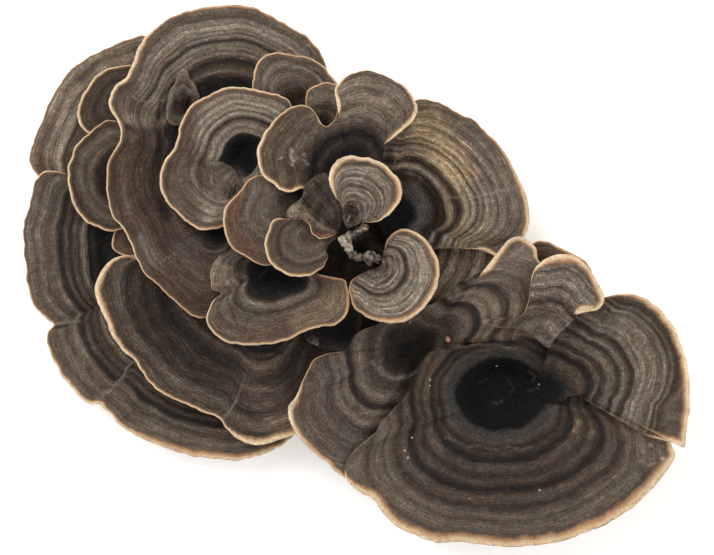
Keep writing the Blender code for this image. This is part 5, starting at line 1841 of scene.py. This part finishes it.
class Finish:
    """A material under construction, with short ways to add nodes.

    An input is a value or another node's output.
    """

    def __init__(self, name):
        self.material = bpy.data.materials.new(name)
        self.material.use_nodes = True
        self.tree = self.material.node_tree
        self.shader = self.tree.nodes["Principled BSDF"]
        self.shader.inputs["Metallic"].default_value = 0

    def give(self, socket, value):
        if isinstance(value, bpy.types.NodeSocket):
            self.tree.links.new(value, socket)
        elif isinstance(value, tuple) and len(value) == 3 and socket.type == "RGBA":
            socket.default_value = (*value, 1)
        else:
            socket.default_value = value

    def add(self, kind, inputs=(), **settings):
        node = self.tree.nodes.new("ShaderNode" + kind)
        for key, value in settings.items():
            setattr(node, key, value)
        for key, value in dict(inputs).items():
            self.give(node.inputs[key], value)
        return node

    def read(self, name, output="Fac"):
        return self.add("Attribute", attribute_name=name).outputs[output]

    def math(self, operation, a, b=0.0, clamp=False):
        return self.add("Math", {0: a, 1: b}, operation=operation, use_clamp=clamp).outputs[0]

    def scaled(self, vector, scale):
        return self.add("VectorMath", {0: vector, 1: scale}, operation="MULTIPLY").outputs[0]

    def place(self):
        return self.add("TexCoord").outputs["Object"]

    def noise(self, vector, scale=1.0, detail=2.0, rough=0.55):
        inputs = {"Vector": vector, "Scale": scale, "Detail": detail, "Roughness": rough}
        return self.add("TexNoise", inputs).outputs["Fac"]

    def ramp(self, fac, stops):
        node = self.add("ValToRGB", {"Fac": fac})
        elements = node.color_ramp.elements
        elements.remove(elements[1])
        for k, (at, colour) in enumerate(stops):
            element = elements[0] if k == 0 else elements.new(at)
            element.position = at
            element.color = (*colour, 1)
        return node.outputs["Color"]

    def mix(self, fac, a, b, blend="MIX"):
        node = self.add("Mix", data_type="RGBA", blend_type=blend, clamp_factor=True)
        for key, value in ((0, fac), (6, a), (7, b)):
            self.give(node.inputs[key], value)
        return node.outputs[2]

    def step(self, value, low, high, start=0.0, end=1.0):
        inputs = {"Value": value, "From Min": low, "From Max": high, "To Min": start, "To Max": end}
        return self.add("MapRange", inputs, interpolation_type="SMOOTHSTEP").outputs["Result"]

    def sum(self, *terms):
        """The sum of outputs, each with its weight, taken as from -0.5 to 0.5."""
        total = 0.0
        for value, weight in terms:
            total = self.math("ADD", self.weighted(value, weight), total)
        return total

    def weighted(self, value, weight):
        return self.math("MULTIPLY", self.math("SUBTRACT", value, 0.5), weight)

    def times(self, colour, factor):
        return self.add("VectorMath", {0: colour, "Scale": factor}, operation="SCALE").outputs[0]

    def finish(self, colour, roughness, height, depth, strength):
        self.give(self.shader.inputs["Base Color"], colour)
        self.give(self.shader.inputs["Roughness"], roughness)
        self.shader.inputs["Specular IOR Level"].default_value = SPECULAR
        bump = self.add("Bump", {"Height": height, "Strength": strength, "Distance": depth})
        self.give(self.shader.inputs["Normal"], bump.outputs["Normal"])
        return self.material


def top_material(cap, look):
    """Zones by growth, thin lines along them, fibres across them, and the pale margin."""
    coat = Finish(cap.name + "_top")
    spoke = coat.read("spoke", "Vector")
    place_on = coat.place()
    out = coat.add("SeparateXYZ", {0: spoke}).outputs["Z"]
    bands = coat.noise(coat.scaled(spoke, BAND_CELLS), detail=1.5)
    lines = coat.noise(coat.scaled(spoke, LINE_CELLS), detail=2.5, rough=0.6)
    hairs = coat.noise(coat.scaled(spoke, HAIR_CELLS), detail=2.0)
    fibres = coat.noise(coat.scaled(spoke, FIBRE_CELLS), detail=2.5, rough=0.6)
    mottle = coat.noise(place_on, MOTTLE_CELLS, 3.0, 0.7)
    grain = coat.noise(place_on, GRAIN_CELLS, 2.0, 0.6)
    patches = coat.noise(place_on, PATCH_CELLS, 3.0, 0.6)
    clouds = coat.noise(place_on, CLOUD_CELLS, 2.0)
    growth = coat.math("ADD", coat.read("growth"), coat.weighted(lines, 0.012))
    tone = coat.ramp(growth, look.zones)
    if look.calms:
        tone = coat.mix(coat.read("calm"), tone, look.plain)
    tone = coat.times(coat.mix(1.0, tone, coat.read("tint", "Vector"), "MULTIPLY"), look.gain)
    sway = coat.noise(coat.scaled(spoke, SWAY_CELLS), detail=3.0, rough=0.6)
    phase = coat.math("ADD", coat.math("MULTIPLY", out, THIN_TURN), coat.math("MULTIPLY", sway, SWAY_TURN))
    comes = coat.step(coat.noise(coat.scaled(spoke, THIN_CELLS), detail=2.0), 0.38, 0.6)
    thin = coat.math("MULTIPLY", coat.step(coat.math("SINE", phase), 0.2, 1.0), comes)
    contrast = look.contrast
    change = coat.sum(
        (bands, 0.9 * contrast), (lines, 1.3 * contrast), (hairs, 0.9 * contrast),
        (fibres, 1.3 * look.streaks), (mottle, 1.5), (grain, 1.3), (patches, 0.6), (clouds, 0.6),
    )
    change = coat.math("ADD", change, coat.weighted(thin, 0.42 * contrast))
    colour = coat.times(tone, coat.math("EXPONENT", change))
    cast = coat.step(coat.math("ADD", patches, coat.weighted(grain, 1.0)), 0.36, 0.64)
    colour = coat.mix(1.0, colour, coat.mix(cast, RED_CAST, GREEN_CAST), "MULTIPLY")
    hairy = coat.math("MULTIPLY", coat.step(lines, 0.5, 0.75), coat.step(fibres, 0.42, 0.7))
    colour = coat.mix(coat.math("MULTIPLY", hairy, 0.1), colour, HAIR)
    mark = coat.read("mark")
    ragged = coat.step(coat.math("ADD", mottle, coat.weighted(grain, 0.8)), 0.3, 0.62, 0.2, 0.9)
    colour = coat.mix(coat.math("MULTIPLY", coat.math("MAXIMUM", mark, 0.0), ragged), colour, ASH)
    # A mark under 0 darkens the top with painted shade
    colour = coat.times(colour, coat.step(mark, -1.0, 0.0, 0.15, 1.0))
    width = coat.read("margin")
    present = coat.step(width, 0.02, 0.12)
    edge = coat.read("edge")
    ratio = coat.math("DIVIDE", edge, coat.math("MAXIMUM", width, 0.02))
    ratio = coat.math("ADD", ratio, coat.sum((fibres, 0.7), (mottle, 0.9), (patches, 1.0)))
    warmth = coat.math("ADD", coat.read("warmth"), coat.weighted(clouds, 0.9), clamp=True)
    beyond = coat.math("ADD", coat.math("SUBTRACT", edge, width), coat.sum((mottle, 0.5), (patches, 0.5)))
    inner = coat.math("MULTIPLY", coat.step(beyond, 0.6, 0.0), coat.step(warmth, 0.0, 0.9, 0.4, 0.85))
    colour = coat.mix(coat.math("MULTIPLY", inner, present), colour, RUST)
    lip = coat.step(edge, 0.22, 0.04, 0.0, 0.3)
    inward = coat.step(ratio, 0.3, 0.85, -0.25, 0.75)
    warm = coat.math("ADD", warmth, coat.math("ADD", lip, inward), clamp=True)
    rim = coat.mix(warm, CREAM, ORANGE_TAN)
    rough = coat.sum((fibres, 0.9), (lines, 0.6), (mottle, 1.3), (grain, 1.0), (patches, 1.0), (clouds, 0.6))
    rim = coat.times(rim, coat.math("EXPONENT", rough))
    colour = coat.mix(coat.math("MULTIPLY", coat.step(ratio, 1.25, 0.6), present), colour, rim)
    height = coat.sum((bands, 0.5), (lines, 0.6), (hairs, 0.3), (fibres, 0.6), (mottle, 0.9), (grain, 0.4))
    height = coat.math("ADD", height, coat.weighted(thin, 0.2))
    roughness = coat.step(mottle, 0.3, 0.7, 0.78, 0.95)
    return coat.finish(colour, roughness, height, TOP_BUMP, 0.8)


def pore_material():
    """The cream underside with its fine pores, browner towards the neck. All the caps share it."""
    made = bpy.data.materials.get("pore_surface")
    if made:
        return made
    coat = Finish("pore_surface")
    place_on = coat.place()
    pores = coat.add("TexVoronoi", {"Vector": place_on, "Scale": PORE_CELLS}).outputs["Distance"]
    mottle = coat.noise(place_on, 700.0, 3.0, 0.6)
    clouds = coat.noise(place_on, 120.0, 2.0)
    spoke = coat.read("spoke", "Vector")
    zones = coat.noise(coat.scaled(spoke, (0.03, 0.03, 0.45)), detail=2.0)
    shade = coat.step(coat.math("ADD", clouds, coat.weighted(zones, 0.8)), 0.35, 0.7)
    colour = coat.mix(shade, PORES, PORE_SHADE)
    colour = coat.mix(coat.step(pores, 0.55, 0.15, 0.0, 0.55), colour, BARK)
    colour = coat.mix(coat.step(coat.read("growth"), 0.34, 0.06, 0.0, 0.8), colour, BARK)
    colour = coat.mix(coat.step(coat.read("edge"), 1.6, 0.4, 0.0, 0.85), colour, CREAM)
    colour = coat.times(colour, coat.math("ADD", coat.sum((mottle, 0.5)), 1.0))
    height = coat.math("ADD", coat.step(pores, 0.15, 0.5), coat.weighted(mottle, 0.6))
    return coat.finish(colour, coat.step(mottle, 0.3, 0.7, 0.8, 0.95), height, PORE_BUMP, 0.8)


def base_material():
    coat = Finish("base_tissue")
    place_on = coat.place()
    lumps = coat.noise(place_on, 260.0, 4.0, 0.6)
    grains = coat.noise(place_on, 1500.0, 3.0, 0.65)
    colour = coat.ramp(lumps, ((0.3, BLACK), (0.48, COAL), (0.62, UMBER), (0.78, BROWN)))
    colour = coat.times(colour, coat.math("ADD", coat.sum((grains, 1.2)), 1.0))
    height = coat.sum((lumps, 1.0), (grains, 0.6))
    return coat.finish(colour, coat.step(grains, 0.3, 0.7, 0.8, 0.95), height, BASE_BUMP, 0.8)


def cut_material():
    """The flat cut: pale corky flesh with darker bark and fibres where it was on the wood."""
    coat = Finish("cut_flesh")
    place_on = coat.place()
    clouds = coat.noise(place_on, 70.0, 4.0, 0.6)
    fibres = coat.noise(coat.scaled(place_on, CORK_CELLS), detail=3.0, rough=0.6)
    grains = coat.noise(place_on, 1700.0, 2.0)
    colour = coat.ramp(clouds, ((0.32, BARK), (0.44, PORE_SHADE), (0.56, FLESH), (0.72, PORES)))
    colour = coat.times(colour, coat.math("ADD", coat.sum((fibres, 1.0), (grains, 0.6)), 1.0))
    colour = coat.mix(coat.step(fibres, 0.66, 0.78, 0.0, 0.8), colour, BARK)
    height = coat.sum((fibres, 0.8), (grains, 0.5))
    return coat.finish(colour, coat.step(grains, 0.3, 0.7, 0.85, 0.97), height, CUT_BUMP, 0.7)


def bud_material():
    coat = Finish("bud_tissue")
    place_on = coat.place()
    lumps = coat.noise(place_on, 900.0, 3.0, 0.65)
    grains = coat.noise(place_on, 3200.0, 2.0, 0.6)
    high = coat.add("SeparateXYZ", {0: place_on}).outputs["Z"]
    colour = coat.mix(coat.step(high, 0.033, 0.026), coat.read("tone", "Vector"), COAL)
    colour = coat.times(colour, coat.math("EXPONENT", coat.sum((lumps, 2.6), (grains, 1.8))))
    height = coat.sum((lumps, 1.0), (grains, 0.5))
    return coat.finish(colour, coat.step(grains, 0.3, 0.7, 0.8, 0.95), height, BUD_BUMP, 0.9)


def grain_material():
    coat = Finish("debris_grains")
    place_on = coat.place()
    mottle = coat.noise(place_on, 2500.0, 2.0)
    colour = coat.mix(coat.read("pink"), DUST, PINK)
    colour = coat.times(colour, coat.math("ADD", coat.sum((mottle, 0.8)), 1.0))
    return coat.finish(colour, coat.step(mottle, 0.3, 0.7, 0.6, 0.9), mottle, GRAIN_BUMP, 0.5)


def floor_material():
    coat = Finish("studio_floor")
    coat.shader.inputs["Base Color"].default_value = (0.9, 0.9, 0.9, 1)
    coat.shader.inputs["Roughness"].default_value = 0.9
    coat.shader.inputs["Emission Color"].default_value = (1, 1, 1, 1)
    coat.shader.inputs["Emission Strength"].default_value = 0.25
    return coat.material


def base_piece():
    """The fused tissue under the caps: a low lumpy mound on its flat cut."""
    shares = shares_out(BASE_ROWS, 1.3)
    count = BASE.segments * BASE_FINENESS
    top = skins(BASE, shares, count)[0]
    share = shares[:, None]
    top[..., 2] = BASE_EDGE_HEIGHT + (BASE.hub[2] * MM - BASE_EDGE_HEIGHT) * (1 - share**4)
    for x, y, radius, height in BASE_BOSSES:
        far = np.linalg.norm(top[..., :2] - np.array(place(x, y)), axis=-1)
        top[..., 2] += height * MM * np.exp(-((far / (radius * PIXEL)) ** 2)) * (1 - share**6)
    top[..., 2] += BASE_RELIEF * noises(top, BASE_LUMPS) * smoothstep(1.0, 0.93, share)
    hub = top[0, 0, :2]
    under = np.zeros((CUT_ROWS, count, 3))
    under[..., :2] = hub + (top[-1, :, :2] - hub) * np.linspace(0, CUT_SHARE, CUT_ROWS)[:, None, None]
    rows = np.concatenate([top[1:], under[:0:-1]])
    points = np.concatenate([top[0, :1], rows.reshape(-1, 3), under[0, :1]])
    start, sides, end = quads(len(rows), count)
    top_faces = len(start) + (len(top) - 1) * count
    mesh = bpy.data.meshes.new("base_tissue")
    mesh.from_pydata(points.tolist(), [], start + sides.tolist() + end)
    total = len(mesh.polygons)
    mesh.polygons.foreach_set("use_smooth", [True] * top_faces + [False] * (total - top_faces))
    mesh.polygons.foreach_set("material_index", [0] * top_faces + [1] * (total - top_faces))
    unwrap(mesh, points, top_faces)
    mesh.materials.append(base_material())
    mesh.materials.append(cut_material())
    return linked("base_tissue", mesh)


def bud_tree(trees):
    """The lumps and their stalk, as coarse as the solid's, for laying the topmost cap on them."""
    low, high = bud_heights(trees)
    bm = bmesh.new()
    add_stalk(bm, low, high, 8)
    for px, py, height, size in BUDS:
        made = bmesh.ops.create_uvsphere(bm, u_segments=7, v_segments=4, radius=size * PIXEL * 1.12)
        bmesh.ops.translate(bm, verts=made["verts"], vec=(*place(px, py), height * MM))
    tree = BVHTree.FromBMesh(bm)
    bm.free()
    return tree


def bud_heights(trees):
    """The heights of the stalk's foot and top."""
    x, y = place(*BUD_STALK[:2])
    radius = BUD_STALK[2] * MM
    ring = [k * math.pi / 4 for k in range(8)]
    low = max(height_below(x + radius * math.cos(a), y + radius * math.sin(a), trees) for a in ring) - SINK
    return low, BUD_STALK[3] * MM


def add_stalk(bm, low, high, segments):
    x, y = place(*BUD_STALK[:2])
    radius = BUD_STALK[2] * MM
    made = bmesh.ops.create_cone(
        bm, cap_ends=True, segments=segments, radius1=radius, radius2=radius * 0.8, depth=high - low
    )
    bmesh.ops.translate(bm, verts=made["verts"], vec=(x, y, (low + high) / 2))


def bud_piece(trees):
    """The pale lumps at the middle, grown together on one knobbly stalk."""
    low, high = bud_heights(trees)
    bm = bmesh.new()
    add_stalk(bm, low, high, 24)
    turns = np.random.default_rng(7)
    for px, py, height, size in BUDS:
        x, y = place(px, py)
        blobs = [(x, y, height * MM, size * PIXEL * 0.88)]
        for _ in range(16):
            turn, lean = turns.uniform(0, 2 * math.pi), turns.uniform(-0.3, 1.4)
            out = size * PIXEL * 0.85
            blobs.append((
                x + out * math.cos(turn) * math.cos(lean),
                y + out * math.sin(turn) * math.cos(lean),
                height * MM + out * math.sin(lean),
                size * PIXEL * turns.uniform(0.2, 0.36),
            ))
        for bx, by, bz, radius in blobs:
            made = bmesh.ops.create_icosphere(bm, subdivisions=3, radius=radius)
            bmesh.ops.translate(bm, verts=made["verts"], vec=(bx, by, bz))
    mesh = bpy.data.meshes.new("bud_lumps")
    bm.to_mesh(mesh)
    bm.free()
    piece = linked("bud_lumps", mesh)
    remesh = piece.modifiers.new("joined", "REMESH")
    remesh.mode = "VOXEL"
    remesh.voxel_size = BUD_VOXEL
    remesh.use_smooth_shade = True
    smooth = piece.modifiers.new("smoothed", "SMOOTH")
    smooth.factor = 0.5
    smooth.iterations = 1
    graph = bpy.context.evaluated_depsgraph_get()
    joined = bpy.data.meshes.new_from_object(piece.evaluated_get(graph))
    piece.modifiers.clear()
    piece.data = joined
    bpy.data.meshes.remove(mesh)
    points = np.empty(len(joined.vertices) * 3)
    joined.vertices.foreach_get("co", points)
    points = points.reshape(-1, 3)
    normals = np.empty(len(joined.vertices) * 3)
    joined.vertices.foreach_get("normal", normals)
    rough = noises(points, BUD_LUMPS)
    points = points + normals.reshape(-1, 3) * rough[:, None] * BUD_RELIEF
    write_read(joined, "tone", bud_tones(points))
    points[:, 2] = np.maximum(points[:, 2], low)
    joined.vertices.foreach_set("co", points.astype(np.float32).ravel())
    joined.materials.clear()
    joined.materials.append(bud_material())
    return piece


def bud_tones(points):
    """The tone at each point of the lumps, from those nearest to it."""
    tones = np.zeros(points.shape)
    total = np.zeros(len(points))
    nearest = np.full(len(points), 9.0)
    for (px, py, height, size), tone in zip(BUDS, BUD_TONES):
        away = np.linalg.norm(points - (*place(px, py), height * MM), axis=1) / (size * PIXEL)
        weight = np.exp(-4 * away)
        tones += weight[:, None] * tone
        total += weight
        nearest = np.minimum(nearest, away)
    return tones * (smoothstep(0.8, 1.08, nearest) * 1.1 + 0.25)[:, None] / total[:, None]


def grain_piece():
    """Grains of debris on the caps, as one joined mesh."""
    graph = bpy.context.evaluated_depsgraph_get()
    bm = bmesh.new()
    pink = []
    for k, (px, py, size, is_pink) in enumerate(GRAINS):
        x, y = place(px, py)
        spot, normal = bpy.context.scene.ray_cast(graph, Vector((x, y, 0.2)), DOWN)[1:3]
        radius = size * PIXEL
        made = bmesh.ops.create_icosphere(bm, subdivisions=2, radius=radius)["verts"]
        shape = np.array([vertex.co for vertex in made])
        shape *= 1 + 0.35 * noise(shape + k, radius * 1.1, k)[:, None]
        shape[:, 2] *= GRAIN_FLATNESS
        for vertex, co in zip(made, shape):
            vertex.co = Vector(co) + spot + normal * radius * 0.25
        pink += [is_pink] * len(made)
    mesh = bpy.data.meshes.new("debris_grains")
    bm.to_mesh(mesh)
    bm.free()
    write_read(mesh, "pink", np.array(pink, float))
    mesh.polygons.foreach_set("use_smooth", [True] * len(mesh.polygons))
    mesh.materials.append(grain_material())
    return linked("debris_grains", mesh)


def grown(cap, look, trees):
    """A cap, laid as coarsely as its solid on those under it, then grown finely. Also its coarse tree."""
    top_shares, under_shares = shares_out(cap.rings, 1.5), shares_out(cap.rings, 1.15)
    top = skins(cap, top_shares, cap.segments)[0]
    under = skins(cap, under_shares, cap.segments)[1]
    raw_top, raw_under = top[..., 2].copy(), under[..., 2].copy()
    lay(cap, top, under, trees)
    top[0, :, 2] = top[0, :, 2].max()
    under[0, :, 2] = under[0, :, 2].max()
    lifts = (top_shares, top[..., 2] - raw_top), (under_shares, under[..., 2] - raw_under)
    return cap_piece(cap, look, fine_cap(cap, look, lifts)), coarse_tree(top, under)


def grow_caps(base):
    """Every cap and the small lobes on it, each as its cap's name and the piece."""
    trees = [base]
    made = []
    for cap in CAPS:
        if cap.name == "top_centre_cap":
            trees.append(bud_tree(trees[:1]))
        piece, tree = grown(cap, LOOKS[cap.name], trees)
        trees.append(tree)
        made.append((cap.name, piece))
        for carrier, lobe in LOBES:
            if carrier == cap.name:
                made.append((cap.name, grown(lobe, LOBE_LOOKS[lobe.name], trees)[0]))
    return made


def stage():
    bpy.ops.mesh.primitive_plane_add(size=8)
    floor = bpy.context.object
    floor.name = "studio_floor"
    floor.data.materials.append(floor_material())
    world = bpy.data.worlds.new("studio")
    world.use_nodes = True
    background = world.node_tree.nodes["Background"]
    background.inputs["Color"].default_value = (1, 1, 1, 1)
    background.inputs["Strength"].default_value = 0.75
    bpy.context.scene.world = world
    for name, spot, size, power in (
        ("key", (-0.45, 0.5, 0.8), 0.7, 9.0),
        ("fill", (0.7, -0.2, 0.7), 0.8, 3.0),
    ):
        light = bpy.data.lights.new(name, "AREA")
        light.size = size
        light.energy = power
        lamp = linked(name, light)
        lamp.location = spot
        lamp.rotation_euler = (-Vector(spot)).to_track_quat("-Z", "Y").to_euler()
        lamp.visible_camera = False


def camera():
    """Looks straight down, from far enough that the picture's pixels keep their places."""
    data = bpy.data.cameras.new("camera")
    data.sensor_width = 36
    data.lens = data.sensor_width * CAMERA_DISTANCE / (PICTURE_SIZE[0] * PIXEL)
    data.clip_end = 10
    made = linked("camera", data)
    x, y = place(PICTURE_SIZE[0] / 2, PICTURE_SIZE[1] / 2)
    made.location = (x, y, FOCUS_HEIGHT + CAMERA_DISTANCE)
    bpy.context.scene.camera = made
    bpy.context.scene.view_settings.view_transform = "Standard"


def main():
    camera()
    base = base_piece()
    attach(base, "root")
    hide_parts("base")
    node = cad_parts["base"].data
    solid = BVHTree.FromPolygons([v.co for v in node.vertices], [p.vertices for p in node.polygons])
    for name, piece in grow_caps(solid):
        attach(piece, "root")
        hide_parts(name)
    buds = bud_piece([solid])
    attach(buds, "root")
    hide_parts("bud_cluster")
    bpy.context.view_layer.update()
    grains = grain_piece()
    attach(grains, "root")
    stage()


main()
